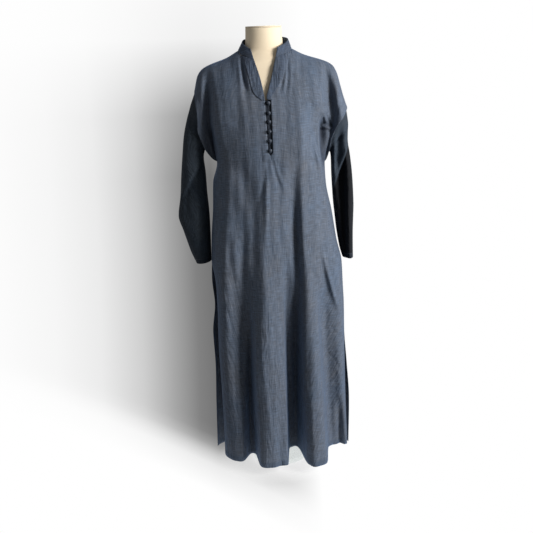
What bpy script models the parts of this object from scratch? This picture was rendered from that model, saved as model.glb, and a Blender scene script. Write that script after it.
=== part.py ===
"""Kurta tunic on a limbless dress form.

Metres, +Z up. The tunic faces -Y and +X is on the viewer's right, which is the tunic's own left.
The origin is the middle of the stand's underside. The cloth is modelled as thin walls in the shape
that it hangs in: a front and a back that reach past the shoulders, empty sleeves, a stand collar
that runs into two bands along the neck slit, and six ball buttons with loops below it.
"""
import math
from collections import namedtuple

import bmesh
import bpy
from mathutils import Vector

# ---------------------------------------------------------------- driving sizes
WALL = 0.0015           # thickness of one layer of cloth, with its seams
COLLAR_WALL = 0.0020    # the collar is two layers with a stiffener
BAND_WALL = 0.0012
SEAM_GAP = 0.0006       # between two sewn pieces
UNDERARM_LEVEL = 0.928
SLANT = 0.048           # the tunic hangs a little askew: at 1 m up, a level line drops this much a metre
CENTRE_X = 0.003        # centre front and centre back
FOLD_END = 0.10         # share of a neck fold's length over which it is pressed flat at its seam
FOLD_FADE = 0.040       # a fold dies out where the cloth lies nearer the side seam than this
SHOULDER_ROLL = 0.110   # height over which a shoulder rounds down to the chest

FRONT_COLUMNS = 20      # columns of the grid of one half of the front
BACK_COLUMNS = 14
SHOULDER_COLUMNS = {"front": 14, "back": 9}    # how many of them end on the shoulder seam
BAND_COLUMNS = 2        # the last columns of the front, which a neck band lies on
LOWER_ROWS = 22         # from the hem to the underarm
UPPER_ROWS = 18         # from the underarm to the shoulder and the neck
ROW_CROWDING = 0.65     # how much closer those rows are at both ends, 0 is even
ROW_SAMPLES = 120       # places tried along a row before its columns are spaced out evenly

Section = namedtuple("Section", "level left_x left_y right_x right_y crown_y wing_y roundness")

# Below the underarm left_x and right_x are the panel's edges. Above it they are the width of the
# oval round the chest, and past them the wings stand wing_y away from the middle. The roundness is
# the power of the oval: 2 is an ellipse, and more is squarer.
FRONT_SECTIONS = (
    Section(0.030, -0.172, -0.035, 0.214, 0.003, -0.140, 0.000, 2.2),
    Section(0.100, -0.171, -0.038, 0.213, 0.006, -0.140, 0.000, 2.2),
    Section(0.200, -0.171, -0.040, 0.212, 0.010, -0.140, 0.000, 2.3),
    Section(0.380, -0.174, -0.036, 0.211, 0.006, -0.140, 0.000, 2.4),
    Section(0.500, -0.172, -0.028, 0.211, -0.001, -0.140, 0.000, 2.4),
    Section(0.560, -0.173, -0.022, 0.209, -0.002, -0.140, 0.000, 2.4),
    Section(0.600, -0.178, -0.012, 0.208, -0.002, -0.140, 0.000, 2.4),
    Section(0.632, -0.184, 0.000, 0.207, 0.000, -0.140, 0.000, 2.4),
    Section(0.700, -0.181, 0.000, 0.193, 0.000, -0.140, 0.000, 2.4),
    Section(0.790, -0.172, 0.000, 0.180, 0.000, -0.139, 0.000, 2.4),
    Section(0.870, -0.167, 0.000, 0.165, 0.000, -0.138, 0.000, 2.6),
    Section(0.928, -0.152, 0.000, 0.162, 0.000, -0.137, 0.000, 3.0),
    Section(0.942, -0.154, 0.000, 0.164, 0.000, -0.137, -0.024, 3.0),
    Section(0.966, -0.158, 0.000, 0.169, 0.000, -0.137, -0.041, 2.9),
    Section(1.018, -0.169, 0.000, 0.181, 0.000, -0.132, -0.052, 2.6),
    Section(1.100, -0.196, 0.000, 0.209, 0.000, -0.113, -0.056, 2.4),
    Section(1.172, -0.222, 0.000, 0.233, 0.000, -0.091, -0.056, 2.4),
    Section(1.215, -0.232, 0.000, 0.240, 0.000, -0.081, -0.054, 2.4),
    Section(1.300, -0.240, 0.000, 0.248, 0.000, -0.060, -0.050, 2.4),
)
BACK_SECTIONS = (
    Section(0.022, -0.200, 0.030, 0.221, 0.026, 0.128, 0.000, 1.6),
    Section(0.180, -0.196, 0.029, 0.226, 0.030, 0.126, 0.000, 1.7),
    Section(0.300, -0.192, 0.028, 0.220, 0.026, 0.122, 0.000, 1.9),
    Section(0.400, -0.194, 0.026, 0.214, 0.022, 0.118, 0.000, 2.0),
    Section(0.500, -0.183, 0.018, 0.212, 0.014, 0.114, 0.000, 2.1),
    Section(0.570, -0.187, 0.008, 0.209, 0.006, 0.112, 0.000, 2.2),
    Section(0.632, -0.184, 0.000, 0.207, 0.000, 0.110, 0.000, 2.4),
    Section(0.700, -0.181, 0.000, 0.193, 0.000, 0.106, 0.000, 2.4),
    Section(0.790, -0.172, 0.000, 0.180, 0.000, 0.100, 0.000, 2.4),
    Section(0.870, -0.167, 0.000, 0.165, 0.000, 0.098, 0.000, 2.6),
    Section(0.928, -0.152, 0.000, 0.162, 0.000, 0.100, 0.000, 3.0),
    Section(0.942, -0.154, 0.000, 0.164, 0.000, 0.100, 0.024, 3.0),
    Section(0.966, -0.158, 0.000, 0.169, 0.000, 0.101, 0.041, 2.9),
    Section(1.018, -0.169, 0.000, 0.181, 0.000, 0.104, 0.052, 2.6),
    Section(1.100, -0.196, 0.000, 0.209, 0.000, 0.104, 0.056, 2.4),
    Section(1.172, -0.222, 0.000, 0.233, 0.000, 0.094, 0.056, 2.4),
    Section(1.230, -0.234, 0.000, 0.242, 0.000, 0.088, 0.053, 2.4),
    Section(1.300, -0.240, 0.000, 0.248, 0.000, 0.100, 0.050, 2.4),
)
SECTIONS = {"front": FRONT_SECTIONS, "back": BACK_SECTIONS}

# A fold runs from (low_x, low_z) to (high_x, high_z). A plus depth pushes the cloth to +Y. It is
# "hem" where it is deepest at its low end, "neck" at its high end, "mid" where it fades both ways.
# The power is its profile: 2 is a soft wave, and more is flatter inside with steeper sides.
Fold = namedtuple("Fold", "low_x low_z high_x high_z left_width right_width depth deepest power")
FRONT_FOLDS = (
    Fold(-0.079, 0.000, -0.080, 0.640, 0.042, 0.010, 0.085, "hem", 2.4),
    Fold(-0.036, 0.000, -0.030, 0.700, 0.040, 0.030, -0.014, "hem", 3.0),
    Fold(0.036, 0.000, 0.040, 0.640, 0.021, 0.035, 0.132, "hem", 5.0),
    Fold(0.103, 0.000, 0.104, 0.640, 0.016, 0.056, -0.030, "hem", 2.4),
    Fold(0.156, 0.000, 0.130, 0.620, 0.010, 0.052, 0.105, "hem", 2.6),
    Fold(0.066, 0.240, 0.073, 0.900, 0.018, 0.012, 0.016, "mid", 2.0),
    Fold(-0.150, 0.250, -0.140, 0.600, 0.014, 0.014, 0.012, "mid", 2.0),
    Fold(-0.172, 0.960, -0.164, 1.210, 0.014, 0.018, 0.028, "mid", 2.0),
    Fold(0.184, 0.960, 0.168, 1.210, 0.018, 0.014, 0.028, "mid", 2.0),
    Fold(-0.128, 0.900, -0.156, 1.050, 0.014, 0.014, 0.012, "mid", 2.0),
    Fold(0.134, 0.860, 0.112, 1.080, 0.016, 0.014, 0.009, "mid", 2.0),
    Fold(-0.056, 1.030, -0.066, 1.238, 0.010, 0.009, 0.006, "neck", 2.0),
    Fold(0.052, 1.030, 0.068, 1.240, 0.009, 0.010, 0.006, "neck", 2.0),
    Fold(-0.092, 1.100, -0.098, 1.232, 0.012, 0.012, 0.004, "neck", 2.0),
    Fold(0.092, 1.100, 0.098, 1.232, 0.012, 0.012, 0.004, "neck", 2.0),
    Fold(-0.021, 0.825, -0.007, 0.945, 0.009, 0.009, 0.004, "neck", 2.0),
    Fold(0.029, 0.815, 0.013, 0.945, 0.009, 0.009, 0.004, "neck", 2.0),
)
BACK_FOLDS = (
    Fold(-0.128, 0.000, -0.092, 0.640, 0.026, 0.022, -0.052, "hem", 2.0),
    Fold(-0.060, 0.000, -0.046, 0.700, 0.030, 0.030, 0.022, "hem", 2.0),
    Fold(0.012, 0.000, 0.006, 0.730, 0.024, 0.028, -0.066, "hem", 2.0),
    Fold(0.082, 0.000, 0.060, 0.680, 0.030, 0.028, 0.020, "hem", 2.0),
    Fold(0.146, 0.000, 0.108, 0.620, 0.022, 0.026, -0.050, "hem", 2.0),
    Fold(-0.174, 1.000, -0.168, 1.196, 0.015, 0.018, -0.018, "mid", 2.0),
    Fold(0.194, 0.996, 0.172, 1.200, 0.018, 0.015, -0.018, "mid", 2.0),
    Fold(-0.060, 0.760, -0.030, 1.060, 0.018, 0.018, -0.008, "mid", 2.0),
    Fold(0.070, 0.760, 0.040, 1.080, 0.018, 0.018, -0.008, "mid", 2.0),
)
FOLDS = {"front": FRONT_FOLDS, "back": BACK_FOLDS}

# Height of the top of the shoulders, and of the neck seam between them, over x.
Ridge = namedtuple("Ridge", "x z")
SHOULDER = (
    Ridge(-0.2120, 1.1250), Ridge(-0.2080, 1.1410), Ridge(-0.1960, 1.1850), Ridge(-0.1820, 1.2020),
    Ridge(-0.1600, 1.2130), Ridge(-0.1110, 1.2300), Ridge(-0.0770, 1.2485), Ridge(-0.0400, 1.2670),
    Ridge(0.0000, 1.2760), Ridge(0.0400, 1.2680), Ridge(0.0760, 1.2495), Ridge(0.1100, 1.2320),
    Ridge(0.1740, 1.2100), Ridge(0.1920, 1.1990), Ridge(0.2030, 1.1810), Ridge(0.2140, 1.1420),
    Ridge(0.2220, 1.1120), Ridge(0.2330, 1.0780), Ridge(0.2370, 1.0660),
)
SHOULDER_SEAM = {"left": (-0.208, -0.077), "right": (0.233, 0.076)}    # x of the tip and of the neck

# The edge of a wing, from the underarm to the tip of the shoulder seam, as (x, z).
ARMHOLE = {
    "left": ((-0.1680, 0.9470), (-0.1860, 0.9690), (-0.2000, 1.0000), (-0.2065, 1.0270),
             (-0.2100, 1.0850), (-0.2080, 1.1410)),
    "right": ((0.1720, 0.9350), (0.1800, 0.9560), (0.1870, 0.9850), (0.2020, 1.0220),
              (0.2250, 1.0570), (0.2330, 1.0780)),
}
# The front's inner edge, as (x, z): up the placket's slit, and then up the neck.
SLIT_EDGE = {
    "left": ((0.0036, 0.9530), (-0.0026, 0.9610), (-0.0044, 1.0400), (-0.0060, 1.1030)),
    "right": ((0.0036, 0.9530), (0.0101, 0.9610), (0.0106, 1.0400), (0.0104, 1.1030)),
}
NECK_EDGE = {
    "left": ((-0.0060, 1.1030), (-0.0066, 1.1090), (-0.0108, 1.1370), (-0.0192, 1.1750), (-0.0310, 1.2140)),
    "right": ((0.0104, 1.1030), (-0.0006, 1.1090), (0.0062, 1.1390), (0.0172, 1.1770), (0.0275, 1.2190)),
}
SLIT_ROWS = 9           # rows of the upper front beside the slit, the rest are beside the neck
# From the end of the shoulder seam round to the centre, as (x, z).
NECK_SEAM = {
    ("front", "left"): ((-0.0740, 1.2390), (-0.0650, 1.2300), (-0.0310, 1.2140)),
    ("front", "right"): ((0.0740, 1.2420), (0.0660, 1.2340), (0.0275, 1.2190)),
    ("back", "left"): ((-0.0500, 1.2555), (-0.0250, 1.2580), (CENTRE_X, 1.2590)),
    ("back", "right"): ((0.0550, 1.2555), (0.0290, 1.2580), (CENTRE_X, 1.2590)),
}
BACK_NECK_Z = 1.2590
COLLAR_COLUMNS = 4      # columns of the collar for each quarter of the neck seam
COLLAR_BULGE = 0.001    # the stand bows out by this at mid height
COLLAR_EASE = 0.0003    # added to the seam gap under it, where it leans over the front
Stand = namedtuple("Stand", "x y z")
COLLAR_TOP = (          # the collar's upper edge, from its left front end round the back
    Stand(-0.0400, -0.0560, 1.2470), Stand(-0.0570, -0.0340, 1.2600), Stand(-0.0625, -0.0040, 1.2750),
    Stand(-0.0440, 0.0400, 1.2860), Stand(0.0030, 0.0570, 1.2900), Stand(0.0490, 0.0400, 1.2870),
    Stand(0.0665, -0.0040, 1.2765), Stand(0.0570, -0.0330, 1.2620), Stand(0.0350, -0.0560, 1.2490),
)
Taper = namedtuple("Taper", "above left right")
BAND_TAPER = (          # share of a neck band's whole width at a height above its foot
    Taper(0.000, 0.24, 0.16), Taper(0.008, 0.70, 0.40), Taper(0.018, 0.94, 0.62),
    Taper(0.036, 1.00, 0.84), Taper(0.064, 1.00, 1.00),
)

# A sleeve is a tube through rings. Each ring has its outermost and innermost point, and its half
# depth and middle in Y. The first ring, along the armhole, is made from the panels themselves.
Ring = namedtuple("Ring", "outer_x outer_z inner_x inner_z half_depth middle_y")
SLEEVES = {
    "left": (
        Ring(-0.2270, 1.0850, -0.1740, 0.9710, 0.0390, -0.003),
        Ring(-0.2380, 1.0480, -0.1840, 0.9750, 0.0390, -0.003),
        Ring(-0.2460, 1.0100, -0.1900, 0.9680, 0.0400, -0.003),
        Ring(-0.2530, 0.9600, -0.1935, 0.9450, 0.0440, -0.002),
        Ring(-0.2610, 0.8980, -0.1900, 0.8980, 0.0520, 0.000),
        Ring(-0.2670, 0.8400, -0.1878, 0.8500, 0.0570, 0.002),
        Ring(-0.2755, 0.7900, -0.1850, 0.8020, 0.0590, 0.003),
        Ring(-0.2740, 0.7620, -0.1843, 0.7660, 0.0570, 0.003),
        Ring(-0.2590, 0.7180, -0.1848, 0.7210, 0.0540, 0.002),
        Ring(-0.2430, 0.6660, -0.1865, 0.6690, 0.0500, 0.001),
        Ring(-0.2310, 0.6370, -0.1872, 0.6410, 0.0480, 0.000),
    ),
    "right": (
        Ring(0.2355, 1.0350, 0.1730, 0.9480, 0.0310, -0.001),
        Ring(0.2345, 1.0080, 0.1775, 0.9540, 0.0350, -0.001),
        Ring(0.2340, 0.9780, 0.1810, 0.9500, 0.0400, -0.002),
        Ring(0.2390, 0.9400, 0.1830, 0.9280, 0.0440, -0.001),
        Ring(0.2440, 0.8750, 0.1845, 0.8800, 0.0530, 0.001),
        Ring(0.2460, 0.8040, 0.1880, 0.8150, 0.0590, 0.003),
        Ring(0.2455, 0.7600, 0.1925, 0.7650, 0.0570, 0.003),
        Ring(0.2450, 0.7180, 0.1970, 0.7180, 0.0550, 0.002),
        Ring(0.2445, 0.6740, 0.2040, 0.6740, 0.0510, 0.001),
        Ring(0.2435, 0.6370, 0.2130, 0.6370, 0.0480, 0.000),
    ),
}
SLEEVE_SIDES = 18
SLEEVE_TUCK = 0.006     # how far a sleeve's head reaches in under the edge of the wing
SLEEVE_EASE = 0.0010    # between the head and the wing, whose facets bow in between its rows

# The placket and its fastening.
PLACKET_HALF_WIDTH = 0.013
PLACKET_LOW_Z = 0.950
PLACKET_HIGH_Z = 1.104
PLACKET_ROWS = 14
PLACKET_COLUMNS = 4
BUTTON_X = 0.0036
BUTTON_HEIGHTS = (1.0965, 1.0695, 1.0455, 1.0190, 0.9935, 0.9670)
BUTTON_RADIUS = 0.0052
BUTTON_SIDES, BUTTON_RINGS = 10, 6
LOOP_RADIUS = 0.0054
LOOP_DROP = 0.0010       # a loop lies this much below its button
LOOP_CORD = 0.0012
LOOP_ANGLES = (-150, -100, -50, 0, 50, 100, 150)    # degrees round the button, 0 points to +X

# The dress form, under the tunic.
Girth = namedtuple("Girth", "z half_width front back")
FORM_GIRTHS = (
    Girth(0.560, 0.158, 0.098, 0.088), Girth(0.620, 0.165, 0.102, 0.096),
    Girth(0.700, 0.156, 0.098, 0.090), Girth(0.780, 0.134, 0.092, 0.078),
    Girth(0.850, 0.120, 0.092, 0.070), Girth(0.920, 0.130, 0.104, 0.080),
    Girth(0.990, 0.143, 0.126, 0.092), Girth(1.050, 0.146, 0.120, 0.098),
    Girth(1.110, 0.150, 0.104, 0.098), Girth(1.160, 0.160, 0.087, 0.090),
    Girth(1.195, 0.168, 0.074, 0.080), Girth(1.250, 0.172, 0.060, 0.064),
)
FORM_CLEARANCE = 0.0026     # from the middle of the cloth to the form, where the cloth rests on it
FORM_ROUNDNESS = 2.4
FORM_STEP = 0.0005          # how finely the form is narrowed to fit under the shoulders
FORM_RINGS = 22
FORM_SIDES = 28
SHOULDER_RING_Z = (1.150, 1.175, 1.192, 1.204, 1.214, 1.222, 1.230)
Neck = namedtuple("Neck", "z half_width half_depth middle_y")
NECK_RINGS = (
    Neck(1.2450, 0.0640, 0.0480, -0.003), Neck(1.2560, 0.0575, 0.0470, -0.002),
    Neck(1.2760, 0.0532, 0.0465, -0.001), Neck(1.3102, 0.0516, 0.0460, 0.000),
)
NECK_X = -0.0018        # middle of the neck
NECK_SLOPE = 0.11       # the neck's top falls by this towards the front
CAP_THICKNESS, CAP_BEVEL = 0.004, 0.0006
SHARP_ANGLE = math.radians(40)
POLE_RADIUS = 0.016
POLE_Y = 0.010
BASE_RADIUS = 0.086
BASE_THICKNESS = 0.012
BASE_BEVEL = 0.003
POINT_GAP = 0.0003      # between two hard pieces that touch

NAME = "kurta_tunic_on_dress_form"


# ---------------------------------------------------------------- curves and tables
def read(table, at, column):
    """Smooth value of a column at a place along the table's first column, with no overshoot."""
    keys = [row[0] for row in table]
    values = [getattr(row, column) for row in table]
    at = min(max(at, keys[0]), keys[-1])
    step = next(i for i in range(len(keys) - 1) if at <= keys[i + 1])
    slopes = [(values[i + 1] - values[i]) / (keys[i + 1] - keys[i]) for i in range(len(keys) - 1)]

    def tangent(i):
        if i in (0, len(keys) - 1):
            return slopes[min(i, len(slopes) - 1)]
        before, after = slopes[i - 1], slopes[i]
        return 2 * before * after / (before + after) if before * after > 0 else 0.0

    span = keys[step + 1] - keys[step]
    t = (at - keys[step]) / span
    return (values[step] * (2 * t ** 3 - 3 * t ** 2 + 1) + values[step + 1] * (3 * t ** 2 - 2 * t ** 3)
            + span * (tangent(step) * (t ** 3 - 2 * t ** 2 + t) + tangent(step + 1) * (t ** 3 - t ** 2)))


def smooth_line(points, steps=8):
    """A finer line through the points, rounded between them."""
    points = [Vector(p) for p in points]
    ends = [2 * points[0] - points[1]] + points + [2 * points[-1] - points[-2]]
    line = []
    for a, b, c, d in zip(ends, ends[1:], ends[2:], ends[3:]):
        for k in range(steps):
            t = k / steps
            line.append(0.5 * (2 * b + (c - a) * t + (2 * a - 5 * b + 4 * c - d) * t ** 2
                               + (3 * b - a - 3 * c + d) * t ** 3))
    return line + [points[-1]]


def spread(line, count, crowding=0.0):
    """Points at count steps along a line, even or crowded towards both ends."""
    lengths = [0.0]
    for a, b in zip(line, line[1:]):
        lengths.append(lengths[-1] + (b - a).length)
    result, k = [], 0
    for i in range(count + 1):
        part = i / count
        part -= crowding * math.sin(2 * math.pi * part) / (2 * math.pi)
        wanted = lengths[-1] * part
        while k < len(line) - 2 and lengths[k + 1] < wanted:
            k += 1
        part = (wanted - lengths[k]) / max(lengths[k + 1] - lengths[k], 1e-9)
        result.append(line[k].lerp(line[k + 1], min(part, 1.0)))
    return result


# ---------------------------------------------------------------- the shape of the cloth
def shoulder_z(x):
    return read(SHOULDER, x, "z")


def shoulder_rounding(x, z):
    """0 on top of the shoulder, rising to 1 where the chest is at its full depth."""
    below = min(max((shoulder_z(x) - z) / SHOULDER_ROLL, 0.0), 1.0)
    return math.sqrt(1 - (1 - below) ** 2)


def fold_depth(fold, x, z):
    along = (z - fold.low_z) / (fold.high_z - fold.low_z)
    if not 0.0 <= along <= 1.0:
        return 0.0
    strength = {"hem": (1 - along) ** 1.2, "mid": math.sin(math.pi * along) ** 1.5,
                "neck": along ** 1.2 * min(1.0, (1 - along) / FOLD_END)}[fold.deepest]
    aside = x - (fold.low_x + (fold.high_x - fold.low_x) * along)
    width = fold.left_width if aside < 0 else fold.right_width
    return fold.depth * strength * math.exp(-abs(aside / width) ** fold.power)


def cloth_y(face, x, z):
    """Y of the middle of the wall of the front or back at x and z."""
    table = SECTIONS[face]
    level = z / (1 - SLANT * x)
    left, right = read(table, level, "left_x"), read(table, level, "right_x")
    across = min(max((x - left) / (right - left), 0.0), 1.0)
    edge_y = read(table, level, "left_y") * (1 - across) + read(table, level, "right_y") * across
    aside = abs(2 * across - 1)
    power = read(table, level, "roundness")
    crown = (1 - aside ** power) ** (1 / power)
    chest = (read(table, level, "crown_y") - edge_y) * crown
    wing = read(table, level, "wing_y") * aside ** 3
    reach = math.copysign((abs(chest) ** 3 + abs(wing) ** 3) ** (1 / 3), chest + wing)
    folds = sum(fold_depth(fold, x, z) for fold in FOLDS[face])
    return edge_y + (reach + folds * min(1.0, abs(reach) / FOLD_FADE)) * shoulder_rounding(x, z)


def on_cloth(face, x, z):
    return Vector((x, cloth_y(face, x, z), z))


def low_row(face, side, level, columns):
    """Points of one half of a panel at one level, from its side edge to the centre."""
    table = SECTIONS[face]
    left, right = read(table, level, "left_x"), read(table, level, "right_x")
    middle, half = (left + right) / 2, (right - left) / 2
    start = -math.pi / 2 if side == "left" else math.pi / 2
    end = math.asin((CENTRE_X - middle) / half)
    line = []
    for i in range(ROW_SAMPLES + 1):
        x = middle + half * math.sin(start + (end - start) * i / ROW_SAMPLES)
        line.append(on_cloth(face, x, level * (1 - SLANT * x)))
    line[-1] = on_cloth(face, CENTRE_X, level * (1 - SLANT * CENTRE_X))
    return spread(line, columns)


def shoulder_line(side, count):
    tip, neck = SHOULDER_SEAM[side]
    places = [tip + (neck - tip) * i / ROW_SAMPLES for i in range(ROW_SAMPLES + 1)]
    return spread([Vector((x, 0.0, shoulder_z(x))) for x in places], count)


def flat(points):
    return [Vector((x, 0.0, z)) for x, z in points]


def neck_line(face, side, count):
    neck = SHOULDER_SEAM[side][1]
    start = Vector((neck, 0.0, shoulder_z(neck)))
    line = smooth_line([start] + flat(NECK_SEAM[face, side]))
    if face == "back":
        return spread(line, count)
    corner = min(range(len(line)), key=lambda i: (line[i] - flat(NECK_SEAM[face, side])[1]).length)
    return spread(line[:corner + 1], count - BAND_COLUMNS) + spread(line[corner:], BAND_COLUMNS)[1:]


def high_rows(face, side, bottom, columns):
    """Rows of one half of a panel above the underarm, between its four edges."""
    shoulder_columns = SHOULDER_COLUMNS[face]
    top = shoulder_line(side, shoulder_columns)
    top += neck_line(face, side, columns - shoulder_columns)[1:]
    bottom = [Vector((p.x, 0.0, p.z)) for p in bottom]
    outer = spread(smooth_line([bottom[0]] + flat(ARMHOLE[side])), UPPER_ROWS, ROW_CROWDING)
    if face == "front":
        inner = spread([bottom[-1]] + flat(SLIT_EDGE[side]), SLIT_ROWS)
        inner += spread(smooth_line(flat(NECK_EDGE[side])), UPPER_ROWS - SLIT_ROWS, ROW_CROWDING)[1:]
    else:
        inner = spread([bottom[-1]] + flat(((CENTRE_X, BACK_NECK_Z),)), UPPER_ROWS, ROW_CROWDING)
    rows = []
    for j in range(1, UPPER_ROWS + 1):
        v = j / UPPER_ROWS - ROW_CROWDING * math.sin(2 * math.pi * j / UPPER_ROWS) / (2 * math.pi)
        row = []
        for i in range(columns + 1):
            u = i / columns
            point = ((1 - v) * bottom[i] + v * top[i] + (1 - u) * outer[j] + u * inner[j]
                     - (1 - u) * (1 - v) * bottom[0] - u * (1 - v) * bottom[-1]
                     - (1 - u) * v * top[0] - u * v * top[-1])
            row.append(on_cloth(face, point.x, point.z))
        rows.append(row)
    return rows


def panel_half(face, side):
    columns = FRONT_COLUMNS if face == "front" else BACK_COLUMNS
    low_level = SECTIONS[face][0].level
    levels = [low_level + (UNDERARM_LEVEL - low_level) * j / LOWER_ROWS for j in range(LOWER_ROWS + 1)]
    rows = [low_row(face, side, level, columns) for level in levels]
    rows += high_rows(face, side, rows[-1], columns)
    apart = Vector((0.0, -SEAM_GAP / 2 if face == "front" else SEAM_GAP / 2, 0.0))
    return [[point + apart for point in row] for row in rows]


# ---------------------------------------------------------------- making objects
def material(name, colour, roughness):
    made = bpy.data.materials.new(name)
    made.use_nodes = True
    shader = made.node_tree.nodes["Principled BSDF"]
    shader.inputs["Base Color"].default_value = (*colour, 1.0)
    shader.inputs["Roughness"].default_value = roughness
    shader.inputs["Metallic"].default_value = 0.0
    return made


COTTON = (0.075, 0.092, 0.120)
DARK_COTTON = (0.020, 0.026, 0.036)
CREAM_CLOTH = (0.86, 0.80, 0.68)
WHITE_PAINT = (0.80, 0.79, 0.77)
PALE_GLASS = (0.78, 0.84, 0.82)
CLOTH_ROUGHNESS = 0.85
PAINT_ROUGHNESS = 0.5
GLASS_ROUGHNESS = 0.05
WELD = 0.00001          # grid edges nearer than this are one edge


def finish(name, bm, colour, roughness, smooth=True):
    mesh = bpy.data.meshes.new(name)
    bm.to_mesh(mesh)
    bm.free()
    made = bpy.data.objects.new(name, mesh)
    collection.objects.link(made)
    made.data.materials.append(material(name + "_finish", colour, roughness))
    if smooth:
        mesh.shade_smooth()
    return made


def sheet_mesh(bm, rows):
    """A grid laid through the rows of points."""
    columns, steps = len(rows[0]) - 1, len(rows) - 1
    made = bmesh.ops.create_grid(bm, x_segments=columns, y_segments=steps, size=1.0)
    for vert in made["verts"]:
        i = round((vert.co.x + 1) / 2 * columns)
        j = round((vert.co.y + 1) / 2 * steps)
        vert.co = rows[j][i]


def thicken(made, wall):
    solid = made.modifiers.new("wall", "SOLIDIFY")
    solid.thickness = wall
    solid.offset = 0.0


def cloth_object(name, sheets, wall, colour=COTTON):
    bm = bmesh.new()
    for rows in sheets:
        sheet_mesh(bm, rows)
    bmesh.ops.remove_doubles(bm, verts=bm.verts[:], dist=WELD)
    bmesh.ops.recalc_face_normals(bm, faces=bm.faces[:])
    made = finish(name, bm, colour, CLOTH_ROUGHNESS)
    thicken(made, wall)
    return made


def closed_rings(name, rings, colour, roughness, smooth=True):
    """A solid through closed rings of points, with a flat face at each end."""
    bm = bmesh.new()
    sides = len(rings[0])
    sheet_mesh(bm, [ring + ring[:1] for ring in rings])
    bmesh.ops.remove_doubles(bm, verts=bm.verts[:], dist=WELD)
    bmesh.ops.holes_fill(bm, edges=[e for e in bm.edges if e.is_boundary], sides=sides)
    bmesh.ops.recalc_face_normals(bm, faces=bm.faces[:])
    return finish(name, bm, colour, roughness, smooth)


def row_normals(rows, j, i):
    """The direction out of a grid of points at one of them."""
    across = rows[j][min(i + 1, len(rows[0]) - 1)] - rows[j][max(i - 1, 0)]
    up = rows[min(j + 1, len(rows) - 1)][i] - rows[max(j - 1, 0)][i]
    normal = across.cross(up).normalized()
    return normal if normal.y < 0 else -normal


# ---------------------------------------------------------------- the pieces of the tunic
def make_panels():
    halves = {(face, side): panel_half(face, side) for face in SECTIONS for side in SHOULDER_SEAM}
    for face in SECTIONS:
        cloth_object(face, [halves[face, "left"], halves[face, "right"]], WALL)
    return halves


def make_bands(halves):
    """Each neck band is the front's last columns, moved out by its wall and a seam gap."""
    lift = WALL / 2 + SEAM_GAP + BAND_WALL / 2
    for side in SHOULDER_SEAM:
        rows = halves["front", side]
        first = LOWER_ROWS + SLIT_ROWS
        columns = range(FRONT_COLUMNS - BAND_COLUMNS, FRONT_COLUMNS + 1)
        band, foot_z = [], rows[first][-1].z
        for j in range(first, len(rows)):
            row = [rows[j][i] + lift * row_normals(rows, j, i) for i in columns]
            share = 2 * read(BAND_TAPER, row[-1].z - foot_z, side)
            row[0] = row[1].lerp(row[0], share - 1) if share > 1 else row[2].lerp(row[1], share)
            row[1] = row[2].lerp(row[1], 1.0 if share > 1 else share / 2)
            band.append(row)
        cloth_object("neck_band_" + side, [band], BAND_WALL)


def neck_points():
    """The neck seam all round, from the left front end over the back to the right front end."""
    quarters = []
    for face, side in (("front", "left"), ("back", "left"), ("back", "right"), ("front", "right")):
        line = [on_cloth(face, p.x, p.z) for p in neck_line(face, side, COLLAR_COLUMNS)]
        quarters.append(line if (face, side) in (("back", "left"), ("front", "right")) else line[::-1])
    points = quarters[0]
    for quarter in quarters[1:]:
        points = points + quarter[1:]
    return points


def make_collar():
    seam = neck_points()
    top = spread(smooth_line([(p.x, p.y, p.z) for p in COLLAR_TOP]), len(seam) - 1)
    lift = SEAM_GAP + WALL / 2 + COLLAR_EASE
    foot = [p + (t - p).normalized() * lift for p, t in zip(seam, top)]
    middle = [f.lerp(t, 0.5) + Vector((f.x, f.y, 0.0)).normalized() * COLLAR_BULGE
              for f, t in zip(foot, top)]
    cloth_object("collar", [[foot, middle, top]], COLLAR_WALL)


def armhole_ring(halves, side):
    """The sleeve's first ring: round the armhole, just inside the wings' edges."""
    half = SLEEVE_SIDES // 2
    step = UPPER_ROWS // half
    inset = WALL + SLEEVE_EASE
    ring = []
    for k in range(SLEEVE_SIDES):
        face = "front" if k <= half else "back"
        rows = halves[face, side]
        j = len(rows) - 1 - step * (k if k <= half else SLEEVE_SIDES - k)
        edge, inside = rows[j][0], rows[j][1]
        point = edge + (inside - edge).normalized() * SLEEVE_TUCK
        if k in (0, half):
            inward = math.copysign(2 * inset, -point.x)
            point = Vector((point.x + inward, 0.0, edge.z if k == 0 else edge.z + 2 * inset))
        else:
            normal = row_normals(rows, j, 0)
            point += inset * (-normal if face == "front" else normal)
        ring.append(point)
    return ring


def make_sleeve(halves, side):
    rings = [armhole_ring(halves, side)]
    for ring in SLEEVES[side]:
        outer, inner = Vector((ring.outer_x, 0, ring.outer_z)), Vector((ring.inner_x, 0, ring.inner_z))
        centre, reach = (outer + inner) / 2, (outer - inner) / 2
        points = []
        for k in range(SLEEVE_SIDES):
            angle = 2 * math.pi * k / SLEEVE_SIDES
            depth = ring.middle_y - ring.half_depth * math.sin(angle)
            points.append(centre + reach * math.cos(angle) + Vector((0.0, depth, 0.0)))
        rings.append(points)
    rows = [ring + ring[:1] for ring in rings]
    cloth_object("sleeve_" + side, [rows], WALL)


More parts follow.
